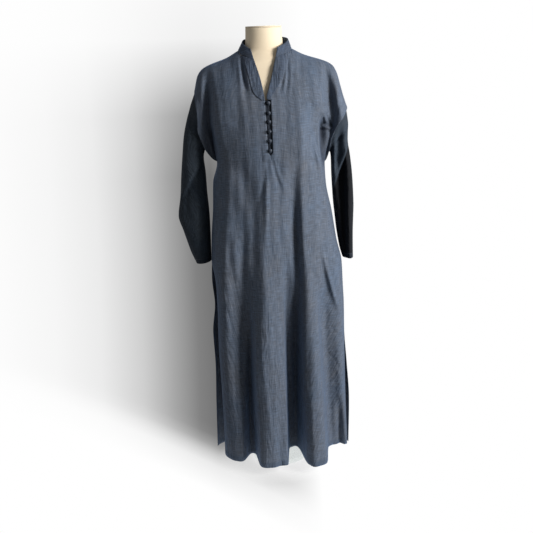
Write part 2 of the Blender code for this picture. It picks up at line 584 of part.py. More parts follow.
def make_placket():
    """The underlap that shows between the two edges of the slit, and its buttons and loops."""
    behind = WALL + SEAM_GAP
    rows = []
    for j in range(PLACKET_ROWS + 1):
        z = PLACKET_LOW_Z + (PLACKET_HIGH_Z - PLACKET_LOW_Z) * j / PLACKET_ROWS
        row = []
        for i in range(PLACKET_COLUMNS + 1):
            x = CENTRE_X + PLACKET_HALF_WIDTH * (2 * i / PLACKET_COLUMNS - 1)
            row.append(on_cloth("front", x, z) + Vector((0.0, behind, 0.0)))
        rows.append(row)
    cloth_object("placket_underlap", [rows], WALL, DARK_COTTON)
    for number, z in enumerate(BUTTON_HEIGHTS, 1):
        face_y = cloth_y("front", BUTTON_X, z) + behind - WALL / 2
        make_button(number, Vector((BUTTON_X, face_y - POINT_GAP - BUTTON_RADIUS, z)))
        make_loop(number, z - LOOP_DROP, behind - WALL / 2 - 2 * POINT_GAP - LOOP_CORD / 2)


def make_button(number, centre):
    bm = bmesh.new()
    bmesh.ops.create_uvsphere(bm, u_segments=BUTTON_SIDES, v_segments=BUTTON_RINGS, radius=BUTTON_RADIUS)
    bmesh.ops.translate(bm, verts=bm.verts[:], vec=centre)
    finish("button_%d" % number, bm, DARK_COTTON, CLOTH_ROUGHNESS)


def make_loop(number, middle_z, lift):
    """A cord loop that comes from the slit's edge and goes round under the button."""
    curve = bpy.data.curves.new("loop_%d" % number, "CURVE")
    curve.dimensions = "3D"
    curve.bevel_depth = LOOP_CORD / 2
    curve.bevel_resolution = 1
    curve.use_fill_caps = True
    spline = curve.splines.new("POLY")
    angles = [math.radians(a) for a in LOOP_ANGLES]
    spline.points.add(len(angles) - 1)
    for point, angle in zip(spline.points, angles):
        x = BUTTON_X + LOOP_RADIUS * math.cos(angle)
        z = middle_z + LOOP_RADIUS * math.sin(angle)
        point.co = (x, cloth_y("front", x, z) + lift, z, 1.0)
    made = bpy.data.objects.new("loop_%d" % number, curve)
    collection.objects.link(made)
    curve.materials.append(material("loop_%d_finish" % number, DARK_COTTON, CLOTH_ROUGHNESS))


# ---------------------------------------------------------------- the dress form
def form_reach(side, z, widest):
    """Half width of the form at z on one side: its own, or where the shoulder slopes off."""
    sign = -1.0 if side == "left" else 1.0
    x = widest
    while shoulder_z(sign * x) - FORM_CLEARANCE < z:
        x -= FORM_STEP
    return sign * x


def form_ring(z):
    widest = read(FORM_GIRTHS, z, "half_width")
    left, right = form_reach("left", z, widest), form_reach("right", z, widest)
    middle, half = (left + right) / 2, (right - left) / 2
    ring = []
    for k in range(FORM_SIDES):
        angle = 2 * math.pi * k / FORM_SIDES
        power = 2 / FORM_ROUNDNESS
        x = middle + half * math.copysign(abs(math.cos(angle)) ** power, math.cos(angle))
        crown = abs(math.sin(angle)) ** power
        face, sign = ("front", -1.0) if math.sin(angle) < 0 else ("back", 1.0)
        own = read(FORM_GIRTHS, z, face) * crown
        cloth = max(abs(cloth_y(face, x, z + FORM_CLEARANCE)) - FORM_CLEARANCE, 0.0)
        ring.append(Vector((x, sign * min(own, cloth), z)))
    return ring


def make_form():
    low, high = FORM_GIRTHS[0].z, SHOULDER_RING_Z[0]
    heights = [low + (high - low) * j / FORM_RINGS for j in range(FORM_RINGS)] + list(SHOULDER_RING_Z)
    rings = [form_ring(z) for z in heights]
    for neck in NECK_RINGS:
        slope = NECK_SLOPE if neck is NECK_RINGS[-1] else 0.0
        ring = []
        for k in range(FORM_SIDES):
            angle = 2 * math.pi * k / FORM_SIDES
            x, y = neck.half_width * math.cos(angle), neck.half_depth * math.sin(angle)
            ring.append(Vector((NECK_X + x, neck.middle_y + y, neck.z + slope * y)))
        rings.append(ring)
    closed_rings("form_torso", rings, CREAM_CLOTH, CLOTH_ROUGHNESS)
    top = NECK_RINGS[-1]
    cap = cylinder("form_neck_cap", top.half_width, top.half_depth, top.middle_y, top.z + POINT_GAP,
                   CAP_THICKNESS, CAP_BEVEL, CREAM_CLOTH, CLOTH_ROUGHNESS)
    for vert in cap.data.vertices:
        vert.co += Vector((NECK_X, 0.0, NECK_SLOPE * (vert.co.y - top.middle_y)))
    pole_low = BASE_THICKNESS + POINT_GAP
    cylinder("form_pole", POLE_RADIUS, POLE_RADIUS, POLE_Y, pole_low, low - POINT_GAP - pole_low,
             0.0, WHITE_PAINT, PAINT_ROUGHNESS)
    cylinder("form_base", BASE_RADIUS, BASE_RADIUS, POLE_Y, 0.0, BASE_THICKNESS, BASE_BEVEL,
             PALE_GLASS, GLASS_ROUGHNESS)


def cylinder(name, half_width, half_depth, middle_y, low_z, height, bevel, colour, roughness):
    bm = bmesh.new()
    bmesh.ops.create_cone(bm, cap_ends=True, segments=FORM_SIDES, radius1=1.0, radius2=1.0, depth=height)
    bmesh.ops.scale(bm, verts=bm.verts[:], vec=(half_width, half_depth, 1.0))
    bmesh.ops.translate(bm, verts=bm.verts[:], vec=(0.0, middle_y, low_z + height / 2))
    if bevel:
        rim = [e for e in bm.edges if all(v.co.z > low_z + height / 2 for v in e.verts)]
        bmesh.ops.bevel(bm, geom=rim, offset=bevel, segments=2, profile=0.5, affect="EDGES", material=-1)
    made = finish(name, bm, colour, roughness)
    made.data.set_sharp_from_angle(angle=SHARP_ANGLE)
    return made


for old in list(bpy.data.objects):
    bpy.data.objects.remove(old)
collection = bpy.data.collections.new(NAME)
bpy.context.scene.collection.children.link(collection)

panel_halves = make_panels()
make_bands(panel_halves)
make_collar()
for sleeve_side in SLEEVES:
    make_sleeve(panel_halves, sleeve_side)
make_placket()
make_form()
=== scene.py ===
# %% [markdown]
# # A kurta tunic on a dress form
# The tunic is one garment of light cotton that hangs from the shoulders of a padded form. Its solids
# are already there, with the right sizes. This lesson dresses them: it lays a much finer cloth through
# the same sections and folds, adds the small creases, the stitching, the ball buttons and the loops,
# and gives each thing the finish of its real material.

# %% Load the solids
import math
from collections import namedtuple

import bmesh
import bpy
import numpy as np
from mathutils import Matrix, Vector


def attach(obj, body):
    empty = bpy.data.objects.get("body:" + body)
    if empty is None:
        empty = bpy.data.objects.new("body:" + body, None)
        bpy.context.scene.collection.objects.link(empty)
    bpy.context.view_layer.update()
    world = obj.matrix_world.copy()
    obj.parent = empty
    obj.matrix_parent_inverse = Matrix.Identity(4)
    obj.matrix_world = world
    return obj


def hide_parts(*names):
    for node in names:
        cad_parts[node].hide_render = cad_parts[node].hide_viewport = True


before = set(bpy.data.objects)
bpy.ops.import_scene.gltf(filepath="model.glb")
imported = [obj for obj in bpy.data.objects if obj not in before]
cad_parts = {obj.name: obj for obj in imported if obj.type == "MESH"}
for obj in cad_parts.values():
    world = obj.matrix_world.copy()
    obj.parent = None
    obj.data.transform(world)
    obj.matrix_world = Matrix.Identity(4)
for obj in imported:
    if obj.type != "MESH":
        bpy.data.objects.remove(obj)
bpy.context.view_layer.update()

# %% [markdown]
# ## Helpers for finishes
# Colours are written as a designer writes them, in sRGB hex, and the shader wants linear light. One
# function adds a node with its settings and links, and the short ones after it use it for what
# materials often need, so a material reads as a short list.


# %% Colour and node helpers
def linear(hex_colour):
    values = [int(hex_colour[i:i + 2], 16) / 255 for i in (1, 3, 5)]
    return (*(v / 12.92 if v <= 0.04045 else ((v + 0.055) / 1.055) ** 2.4 for v in values), 1.0)


def add(tree, kind, sockets=None, **settings):
    """A node with its settings, and its sockets set to a value or linked to another socket."""
    node = tree.nodes.new(kind)
    for name, value in settings.items():
        setattr(node, name, value)
    for name, value in (sockets or {}).items():
        if isinstance(value, bpy.types.NodeSocket):
            tree.links.new(value, node.inputs[name])
        else:
            node.inputs[name].default_value = value
    return node


def ramp(tree, factor, *stops):
    """A colour ramp through stops of (place, colour). A colour is a hex code, a grey or four numbers."""
    node = add(tree, "ShaderNodeValToRGB", {"Fac": factor})
    elements = node.color_ramp.elements
    while len(elements) < len(stops):
        elements.new(1.0)
    for element, (place, colour) in zip(elements, stops):
        element.position = place
        if isinstance(colour, float):
            colour = (colour, colour, colour, 1.0)
        element.color = linear(colour) if isinstance(colour, str) else colour
    return node.outputs["Color"]


def maths(tree, operation, *values):
    return add(tree, "ShaderNodeMath", dict(enumerate(values)), operation=operation).outputs[0]


def stretch(tree, value, low, high, to_low=0.0, to_high=1.0):
    """A value between low and high, stretched to run from to_low to to_high."""
    return add(tree, "ShaderNodeMapRange", {"Value": value, "From Min": low, "From Max": high,
                                            "To Min": to_low, "To Max": to_high}).outputs[0]


def mix(tree, share, first, second, how="MIX"):
    """A mix of two colours. Sockets 6 and 7 and output 2 are the node's own for colours."""
    return add(tree, "ShaderNodeMix", {"Factor": share, 6: first, 7: second}, data_type="RGBA",
               blend_type=how).outputs[2]


def new_material(name, **finish):
    """A material, its node tree and its shader. finish gives the shader's inputs, such as Sheen_Weight."""
    made = bpy.data.materials.new(name)
    made.use_nodes = True
    shader = made.node_tree.nodes["Principled BSDF"]
    for key, value in finish.items():
        shader.inputs[key.replace("_", " ")].default_value = value
    return made, made.node_tree, shader


FINE_RELIEF = 0.0003    # metres


def speckled(name, colours, patches, relief=None, strength=0.0, **finish):
    """A finish with patches of two colours and a fine relief. Patches and relief are (scale, detail)."""
    made, tree, shader = new_material(name, **finish)
    place = add(tree, "ShaderNodeTexCoord").outputs["Object"]

    def spots(scale, detail):
        noise = add(tree, "ShaderNodeTexNoise", {"Vector": place, "Scale": scale, "Detail": detail})
        return noise.outputs["Fac"]

    tree.links.new(ramp(tree, spots(*patches), *colours), shader.inputs["Base Color"])
    if relief:
        bumped = add(tree, "ShaderNodeBump", {"Strength": strength, "Distance": FINE_RELIEF,
                                              "Height": spots(*relief)})
        tree.links.new(bumped.outputs["Normal"], shader.inputs["Normal"])
    return made

# %% [markdown]
# ## Shot cotton
# The cloth is a light handloom cotton. Its warp, which runs up and down, is blue, and its weft, which
# runs across, is taupe, so the colour shifts a little from fold to fold. The yarn is uneven: thick
# places, called slubs, make short pale and dark streaks along both sets of threads. The real threads
# are 0.4 mm apart, which is finer than a picture of the whole tunic shows, so the weave here is drawn
# at 1.6 mm, and the slubs at their real width of 2 to 4 mm. The pattern lies on the cloth's own flat
# measure, which each piece carries as a UV map in metres, so it follows every fold.

# %% Shot cotton
THREAD = 0.0016         # metres from thread to thread, as drawn


def shot_cotton(name, warp, weft, shade, sheen_tint, sheen, painted_shade_tint=(1.0, 1.0, 1.0, 1)):
    """Cotton from the colours of its two yarns. A hem takes the shade, and where shade is painted on
    the cloth its colour is multiplied by the last tint."""
    made, tree, shader = new_material(name, Roughness=0.82, Specular_IOR_Level=0.25, Sheen_Weight=sheen,
                                      Sheen_Roughness=0.35, Sheen_Tint=linear(sheen_tint))
    cloth = add(tree, "ShaderNodeUVMap", uv_map="cloth").outputs["UV"]
    doubled, painted_shade = (add(tree, "ShaderNodeAttribute", attribute_name=key).outputs["Fac"]
                      for key in ("hem", "painted_shade"))
    split = add(tree, "ShaderNodeSeparateXYZ", {"Vector": cloth}).outputs

    def streaks(across, along, detail=2.0, turned=False, roughness=0.6):
        """Noise drawn out along the threads. across and along are its size in metres."""
        scale = (1 / along, 1 / across, 1.0) if turned else (1 / across, 1 / along, 1.0)
        place = add(tree, "ShaderNodeMapping", {"Vector": cloth, "Scale": scale}).outputs["Vector"]
        return add(tree, "ShaderNodeTexNoise", {"Vector": place, "Scale": 1.0, "Detail": detail,
                                                "Roughness": roughness}).outputs["Fac"]

    def total(*parts):
        """The sum of (noise, weight) pairs."""
        running = maths(tree, "MULTIPLY", *parts[0])
        for noise, weight in parts[1:]:
            running = maths(tree, "MULTIPLY_ADD", noise, weight, running)
        return running

    warp_slubs, weft_slubs = streaks(0.0021, 0.034), streaks(0.0023, 0.028, turned=True)
    patches, wisps = streaks(0.090, 0.160), streaks(0.016, 0.090)
    # which yarn shows: patches, wisps and slubs tip the balance between the warp and the weft
    balance = total((patches, 0.6), (wisps, 0.15), (warp_slubs, 0.55), (weft_slubs, -0.6))
    base = ramp(tree, balance, (0.10, warp), (0.62, weft))
    # slubs also take the dye unevenly
    tone = ramp(tree, total((warp_slubs, 0.45), (weft_slubs, 0.55)), (0.36, (0.64, 0.65, 0.66, 1)),
                (0.50, (1.0, 1.0, 1.0, 1)), (0.64, (1.42, 1.41, 1.40, 1)))
    dyed = mix(tree, 1.0, base, tone, "MULTIPLY")
    # painted shade: where it is painted, the colour is multiplied by the last tint
    dyed = mix(tree, painted_shade, dyed, painted_shade_tint, "MULTIPLY")
    # a hem is three layers deep, so less light comes through it
    tree.links.new(mix(tree, doubled, dyed, linear(shade)), shader.inputs["Base Color"])

    waves = [maths(tree, "SINE", maths(tree, "MULTIPLY", split[key], 2 * math.pi / THREAD)) for key in "XY"]
    relief = total((maths(tree, "MULTIPLY", *waves), 0.25), (warp_slubs, 1.0), (weft_slubs, 1.0))
    bumped = add(tree, "ShaderNodeBump", {"Strength": 0.35, "Distance": 0.0008, "Height": relief})
    # fine upright wrinkles: on the panels, hardly any at the chest and more the lower the cloth hangs
    lowness = stretch(tree, split["Y"], 0.20, 0.75, 1.0, 0.25)
    wrinkles = total((streaks(0.0075, 0.048, 3.0, roughness=0.55), 1.0),
                     (streaks(0.022, 0.050, roughness=0.5), 0.8))
    crumple = add(tree, "ShaderNodeBump", {"Strength": 0.74, "Distance": 0.0060,
                                           "Height": maths(tree, "MULTIPLY", wrinkles, lowness),
                                           "Normal": bumped.outputs["Normal"]})
    tree.links.new(crumple.outputs["Normal"], shader.inputs["Normal"])
    return made


# the tint at the end is painted shade: the body's under the arms, the right sleeve's below its fold
body_cotton = shot_cotton("handloom_shot_cotton", "#4d5b6e", "#595d65", "#434f60", "#7ea4dc", 0.55,
                          (0.36, 0.37, 0.40, 1))
# the sleeves are darker copies of the body's cotton, which is painted shade
shaded_sleeve_cotton = {
    "left": shot_cotton("handloom_shot_cotton_sleeve_left_painted_shade", "#25303d", "#2d343a", "#1a222d", "#6d84a8",
                        0.10),
    "right": shot_cotton("handloom_shot_cotton_sleeve_right_painted_shade", "#2a3645", "#31383e", "#1a222d", "#6d84a8",
                         0.10, (0.070, 0.080, 0.105, 1)),
}
collar_cotton = shot_cotton("handloom_shot_cotton_faced", "#3f4d62", "#4a5059", "#3b475a", "#7ea4dc", 0.3)
navy_cotton = shot_cotton("navy_cotton_facing", "#1b222d", "#252a32", "#161c26", "#5a6c8c", 0.15)
print("cottons:", [m.name for m in (body_cotton, *shaded_sleeve_cotton.values(), collar_cotton, navy_cotton)])

# %% [markdown]
# ## The tunic's own measures
# A level is how high a line round the tunic is. The tunic hangs a little askew, so each level slopes
# down to the viewer's right. The sections say how wide and how deep the tunic is at each level, and
# the folds are long soft waves that are deepest at the hem.

# %% Sections and folds
WALL = 0.0010           # one layer of cloth, with its nap
SEAM_GAP = 0.0006
UNDERARM_LEVEL = 0.928
SLANT = 0.048           # at 1 m up, a level line drops this much a metre
CENTRE_X = 0.003
FOLD_END = 0.10         # share of a neck fold's length over which it is pressed flat at its seam
FOLD_FADE = 0.040       # a fold dies out where the cloth lies nearer the side seam than this
SHOULDER_ROLL = 0.110   # height over which a shoulder rounds down to the chest

OUT = {"front": -1.0, "back": 1.0}      # the way in Y that is out of the cloth


def in_mm(kind, rows, plain=0):
    """A table in metres from rows in millimetres. Words and the last plain columns stay as they are."""
    lengths = len(kind._fields) - plain

    def in_metres(column, value):
        return value if column >= lengths or isinstance(value, str) else value / 1000

    return tuple(kind(*(in_metres(*cell) for cell in enumerate(row))) for row in rows)


# Below the underarm left_x and right_x are the panel's edges. Above it they are the width of the
# oval round the chest, and past them the wings stand wing_y away from the middle. The roundness is
# the power of the oval: 2 is an ellipse, and more is squarer.
Section = namedtuple("Section", "level left_x left_y right_x right_y crown_y wing_y roundness")
FRONT_SECTIONS = in_mm(Section, (
    (30, -172, -35, 214, 3, -140, 0, 2.2), (100, -171, -38, 213, 6, -140, 0, 2.2),
    (200, -171, -40, 212, 10, -140, 0, 2.3), (380, -174, -36, 211, 6, -140, 0, 2.4),
    (500, -172, -28, 211, -1, -140, 0, 2.4), (560, -173, -22, 209, -2, -140, 0, 2.4),
    (600, -178, -12, 208, -2, -140, 0, 2.4), (632, -184, 0, 207, 0, -140, 0, 2.4),
    (700, -181, 0, 193, 0, -140, 0, 2.4), (790, -172, 0, 180, 0, -139, 0, 2.4),
    (870, -167, 0, 165, 0, -138, 0, 2.6), (928, -152, 0, 162, 0, -137, 0, 3),
    (942, -154, 0, 164, 0, -137, -24, 3), (966, -158, 0, 169, 0, -137, -41, 2.9),
    (1018, -169, 0, 181, 0, -132, -52, 2.6), (1100, -196, 0, 209, 0, -113, -56, 2.4),
    (1172, -222, 0, 233, 0, -91, -56, 2.4), (1215, -232, 0, 240, 0, -81, -54, 2.4),
    (1300, -240, 0, 248, 0, -60, -50, 2.4),
), plain=1)
BACK_SECTIONS = in_mm(Section, (
    (22, -200, 30, 221, 26, 128, 0, 1.6), (180, -196, 29, 226, 30, 126, 0, 1.7),
    (300, -192, 28, 220, 26, 122, 0, 1.9), (400, -194, 26, 214, 22, 118, 0, 2),
    (500, -183, 18, 212, 14, 114, 0, 2.1), (570, -187, 8, 209, 6, 112, 0, 2.2),
    (632, -184, 0, 207, 0, 110, 0, 2.4), (700, -181, 0, 193, 0, 106, 0, 2.4),
    (790, -172, 0, 180, 0, 100, 0, 2.4), (870, -167, 0, 165, 0, 98, 0, 2.6),
    (928, -152, 0, 162, 0, 100, 0, 3), (942, -154, 0, 164, 0, 100, 24, 3),
    (966, -158, 0, 169, 0, 101, 41, 2.9), (1018, -169, 0, 181, 0, 104, 52, 2.6),
    (1100, -196, 0, 209, 0, 104, 56, 2.4), (1172, -222, 0, 233, 0, 94, 56, 2.4),
    (1230, -234, 0, 242, 0, 88, 53, 2.4), (1300, -240, 0, 248, 0, 100, 50, 2.4),
), plain=1)
SECTIONS = {"front": FRONT_SECTIONS, "back": BACK_SECTIONS}

# A fold runs from (low_x, low_z) to (high_x, high_z). A plus depth pushes the cloth to +Y. It is
# "hem" where it is deepest at its low end, "neck" at its high end, "mid" where it fades both ways.
# The power is its profile: 2 is a soft wave, and more is flatter inside with steeper sides.
Fold = namedtuple("Fold", "low_x low_z high_x high_z left_width right_width depth deepest power")
FRONT_FOLDS = in_mm(Fold, (
    (-79, 0, -80, 640, 27, 13, 85, "hem", 2.4), (-36, 0, -30, 700, 40, 30, -14, "hem", 3),
    (36, 0, 40, 640, 12, 36, 132, "hem", 5), (103, 0, 104, 640, 16, 56, -30, "hem", 2.4),
    (156, 0, 130, 620, 10, 52, 105, "hem", 2.6), (66, 240, 73, 900, 18, 12, 16, "mid", 2),
    (-150, 250, -140, 600, 14, 14, 12, "mid", 2), (-172, 960, -164, 1210, 14, 18, 28, "mid", 2),
    (184, 960, 168, 1210, 18, 14, 28, "mid", 2), (-128, 900, -156, 1050, 14, 14, 12, "mid", 2),
    (134, 860, 112, 1080, 16, 14, 9, "mid", 2), (-56, 1030, -66, 1238, 10, 9, 6, "neck", 2),
    (52, 1030, 68, 1240, 9, 10, 6, "neck", 2), (-92, 1100, -98, 1232, 12, 12, 4, "neck", 2),
    (92, 1100, 98, 1232, 12, 12, 4, "neck", 2), (-21, 825, -7, 945, 9, 9, 4, "neck", 2),
    (29, 815, 13, 945, 9, 9, 4, "neck", 2),
), plain=1)
BACK_FOLDS = in_mm(Fold, (
    (-128, 0, -92, 640, 26, 22, -52, "hem", 2), (-60, 0, -46, 700, 30, 30, 22, "hem", 2),
    (12, 0, 6, 730, 24, 28, -66, "hem", 2), (82, 0, 60, 680, 30, 28, 20, "hem", 2),
    (146, 0, 108, 620, 22, 26, -50, "hem", 2), (-174, 1000, -168, 1196, 15, 18, -18, "mid", 2),
    (194, 996, 172, 1200, 18, 15, -18, "mid", 2), (-60, 760, -30, 1060, 18, 18, -8, "mid", 2),
    (70, 760, 40, 1080, 18, 18, -8, "mid", 2),
), plain=1)
FOLDS = {"front": FRONT_FOLDS, "back": BACK_FOLDS}

# Height of the top of the shoulders, and of the neck seam between them, over x.
Ridge = namedtuple("Ridge", "x z")
SHOULDER = in_mm(Ridge, (
    (-212, 1125), (-208, 1141), (-196, 1185), (-182, 1202), (-160, 1213), (-111, 1230), (-77, 1248.5),
    (-40, 1267), (0, 1276), (40, 1268), (76, 1249.5), (110, 1232), (174, 1210), (192, 1199),
    (203, 1181), (214, 1142), (222, 1112), (233, 1078), (237, 1066),
))
SHOULDER_SEAM = {"left": (-0.208, -0.077), "right": (0.233, 0.076)}    # x of the tip and of the neck

# The edge of a wing, from the underarm to the tip of the shoulder seam, as (x, z) in millimetres.
ARMHOLE = {
    "left": ((-166, 946), (-181, 968), (-190.5, 990), (-197.5, 1010), (-201.5, 1025), (-200.5, 1065),
             (-204, 1105), (-208, 1141)),
    "right": ((170, 935), (176.5, 956), (182, 985), (197, 1022), (217, 1051), (233, 1078)),
}
# The front's inner edge, likewise: up the placket's slit, and then up the neck.
SLIT_EDGE = {
    "left": ((3.6, 953), (-2.6, 961), (-4.4, 1040), (-6, 1103)),
    "right": ((3.6, 953), (10.1, 961), (10.6, 1040), (10.4, 1103)),
}
NECK_EDGE = {
    "left": ((-6, 1103), (-6.6, 1109), (-10.8, 1137), (-19.2, 1175), (-31, 1214)),
    "right": ((10.4, 1103), (-0.6, 1109), (6.2, 1139), (17.2, 1177), (27.5, 1219)),
}
# From the end of the shoulder seam round to the centre.
NECK_SEAM = {
    ("front", "left"): ((-74, 1239), (-65, 1230), (-31, 1214)),
    ("front", "right"): ((74, 1242), (66, 1234), (27.5, 1219)),
    ("back", "left"): ((-50, 1255.5), (-25, 1258), (1000 * CENTRE_X, 1259)),
    ("back", "right"): ((55, 1255.5), (29, 1258), (1000 * CENTRE_X, 1259)),
}
BACK_NECK_Z = 1.2590

# %% [markdown]
# ## Reading a table smoothly
# Each table gives a few places, and the cloth needs thousands between them. A cubic curve that never
# overshoots its table runs through each column, so a waist stays a waist and no false wave appears.


# %% Curves
def read(table, at, column):
    """Smooth values of a column at places along the table's first column."""
    keys = np.array([row[0] for row in table])
    values = np.array([getattr(row, column) for row in table])
    slopes = np.diff(values) / np.diff(keys)
    tangents = np.concatenate([slopes[:1], np.zeros(len(keys) - 2), slopes[-1:]])
    before, after = slopes[:-1], slopes[1:]
    same = before * after > 0
    tangents[1:-1][same] = 2 * before[same] * after[same] / (before[same] + after[same])
    at = np.clip(at, keys[0], keys[-1])
    step = np.clip(np.searchsorted(keys, at) - 1, 0, len(keys) - 2)
    span = keys[step + 1] - keys[step]
    t = (at - keys[step]) / span
    return (values[step] * (2 * t ** 3 - 3 * t ** 2 + 1) + values[step + 1] * (3 * t ** 2 - 2 * t ** 3)
            + span * (tangents[step] * (t ** 3 - 2 * t ** 2 + t) + tangents[step + 1] * (t ** 3 - t ** 2)))


def smooth_line(points, steps=12):
    """A finer line through the points, rounded between them."""
    points = np.array(points, float)
    ends = np.vstack([2 * points[0] - points[1], points, 2 * points[-1] - points[-2]])
    t = (np.arange(steps) / steps)[:, None]
    parts = [0.5 * (2 * b + (c - a) * t + (2 * a - 5 * b + 4 * c - d) * t ** 2
                    + (3 * b - a - 3 * c + d) * t ** 3)
             for a, b, c, d in zip(ends, ends[1:], ends[2:], ends[3:])]
    return np.vstack(parts + [points[-1:]])


def spread(line, count, crowding=0.0):
    """Points at count steps along a line, even or crowded towards both ends."""
    line = np.array(line, float)
    lengths = np.concatenate([[0.0], np.cumsum(np.linalg.norm(np.diff(line, axis=0), axis=1))])
    part = np.arange(count + 1) / count
    part = (part - crowding * np.sin(2 * math.pi * part) / (2 * math.pi)) * lengths[-1]
    return np.column_stack([np.interp(part, lengths, line[:, k]) for k in range(line.shape[1])])


# %% [markdown]
# ## Small creases, placed one by one
# Beside the long folds, worn cotton has soft troughs and ridges of its own: gathers that run out of a
# seam, drag lines under the arm, and crumples low down where the cloth was folded or sat on. Each is
# one row: where it starts and ends, how far it bows sideways, how wide it is and how deep. A plus
# depth is a trough, and a minus depth is a ridge. A trough has a low ridge on both sides, as pushed
# cloth has.

# %% Creases
Crease = namedtuple("Crease", "x1 z1 x2 z2 bow width depth")
FRONT_CREASES = in_mm(Crease, (
    # gathers out of the collar seam, beside the bands
    (-68, 1234, -52, 1120, 4, 4.5, 3.4), (-60, 1232, -46, 1130, 0, 4, -2.2),
    (-68, 1232, -64, 1110, -2, 4, 2.2), (-80, 1236, -78, 1130, 2, 5, 1.4),
    (60, 1236, 34, 1120, -4, 4.5, 3.4), (70, 1240, 60, 1100, -3, 4, -2.6),
    (66, 1236, 50, 1110, -2, 3.5, 1.6), (82, 1236, 82, 1120, 2, 5, 1.4),
    # gathers below the placket
    (-1, 962, -43, 800, -6, 6, 1.4), (-10, 970, -21, 690, -3, 5.2, -2.6),
    (6, 962, 24, 868, 2, 4.2, 1.8), (10, 950, 46, 850, 4, 5, -1.8), (-16, 952, -20, 934, 2, 1.8, 1.2),
    (18, 950, 22, 932, 2, 1.8, 1.2), (-43, 850, -40, 700, 4, 9, 2.6),
    # long soft lines down the skirt
    (70, 980, 34, 540, 0, 13, 4), (42, 700, 20, 20, 0, 13, 4.2), (70, 830, 72, 560, 4, 9, 5),
    (137, 930, 136, 560, 12, 8, -2.6), (-124, 880, -150, 560, -4, 7, -2.4),
    (-104, 730, -104, 590, 3, 8, -2), (-75, 760, -90, 520, 3, 8, 2), (-150, 590, -132, 440, 3, 5, -2),
    (-160, 560, -120, 380, -8, 6, 2),
    # the long ridges and troughs of the skirt run up past its hips, and fade towards the bust
    (-58, 930, -92, 330, 4, 26, 7.5), (-36, 900, -74, 300, 0, 13, 4.2), (54, 960, 32, 280, 4, 30, 11),
    (71, 930, 66, 600, 2, 12, 7), (-150, 840, -160, 60, 0, 31, -15), (-152, 240, -139, 610, 0, 16, -12),
    (139, 690, 161, 30, 0, 21, 15), (190, 200, 194, -20, 0, 8, 15), (-69, 500, -99, -10, 0, 8, 15),
    (-26, 660, -38, -20, 0, 40, -16), (62, 560, 51, -10, 0, 10, 19),
    # hollows below the bust, beside the placket and beside the right armhole
    (-112, 1040, -104, 900, 4, 16, 6), (-78, 1000, -66, 820, 4, 14, 4),
    (-80, 1120, -78, 780, 0, 36, 6), (140, 1090, 144, 940, 0, 24, 26),
    # the flank under the right arm
    (121, 1050, 158, 840, 4, 4.5, -2.8), (130, 1050, 152, 930, 6, 6, 3),
    (147, 1028, 196, 1018, 2, 3.2, -5), (150, 1040, 190, 1030, 2, 2.8, 3.4),
    (150, 1060, 174, 1066, -3, 3.2, -4.2), (166, 1066, 190, 1020, 3, 3.4, 5),
    (156, 1058, 164, 1030, 1, 3, 4), (164, 1205, 186, 990, -10, 9, 9), (204, 1170, 206, 1050, 4, 7, -3),
    # the flank under the left arm
    (-166, 1066, -143, 940, 5, 6, 9), (-180, 1020, -160, 930, 3, 4.5, 5),
    (-152, 1050, -134, 960, 3, 4, -1.8), (-181, 1190, -192, 1020, -2, 6, -3),
    (-166, 1196, -168, 1010, 2, 7, 3),
    # the long diagonal ridge on the right, and the dark hollow under it
    (138, 700, 196, 470, 4, 5, -5.2), (126, 680, 184, 460, 6, 7, 2.4), (160, 690, 206, 560, 6, 6, 2.2),
    (166, 730, 200, 650, 4, 5, -1.8),
    # crumples low down on the right
    (158, 450, 196, 405, 3, 3, 2.2), (148, 370, 182, 325, 3, 3, 2.4), (176, 335, 204, 272, 3, 3.2, 2.6),
    (160, 290, 200, 310, -3, 3, -2.2), (150, 262, 196, 252, 3, 3, 2.6),
    (148, 232, 184, 226, -3, 2.8, 2.4), (164, 214, 200, 234, 2, 2.8, -2),
    (156, 190, 196, 200, 3, 2.8, 1.8), (158, 150, 190, 165, 3, 3, 1.4),
    (150, 110, 192, 120, -3, 3, 1.4),
    # fine lines down the two lit ridges
    (83, 345, 106, 205, 2, 2.4, 1.4), (100, 170, 116, 75, 2, 2.4, 1.6),
    (110, 200, 98, 100, 3, 2.4, -1.2), (122, 420, 116, 300, 3, 3, 1.2),
    (-23, 525, -22, 410, 2, 2.4, 1.4), (-22, 430, -40, 350, 2, 2.4, 1.4),
    (-10, 480, -14, 380, 3, 2.8, -1.2), (-42, 280, -38, 190, 2, 2.4, 1.4),
    (-20, 240, -16, 130, 3, 2.6, 1.2), (-4, 330, -8, 190, 3, 3, -1.2),
    (-118, 420, -126, 240, 4, 4, 1.4), (-134, 300, -128, 120, 3, 3.6, -1.4),
))
BACK_CREASES = in_mm(Crease, (
    (-120, 1200, -60, 1080, 6, 6, 2.2), (130, 1190, 70, 1070, -6, 6, 2.2),
    (-150, 1040, -110, 930, 4, 5, 2.8), (160, 1030, 118, 920, -4, 5, 2.8),
    (-168, 1000, -130, 900, 4, 4.5, -2), (176, 990, 136, 890, -4, 4.5, -2),
    (-20, 1000, -34, 700, 8, 9, 2.6), (36, 980, 44, 690, -8, 9, 2.6), (-90, 800, -116, 520, -6, 8, 2.6),
    (96, 800, 130, 520, 6, 8, 2.6), (-60, 700, -62, 480, 4, 8, -2.2), (72, 700, 74, 470, -4, 8, -2.2),
    (-140, 420, -166, 300, -4, 3.5, 2), (-128, 300, -160, 220, -4, 3.2, 1.8),
    (150, 360, 190, 300, 4, 3.5, 2), (140, 240, 180, 200, 4, 3.2, 1.8), (-46, 420, -52, 260, 3, 3, 1.4),
    (70, 400, 80, 220, 3, 3, 1.4), (-40, 240, -52, 120, 3, 3, 1.4), (86, 200, 94, 100, 3, 3, 1.4),
))
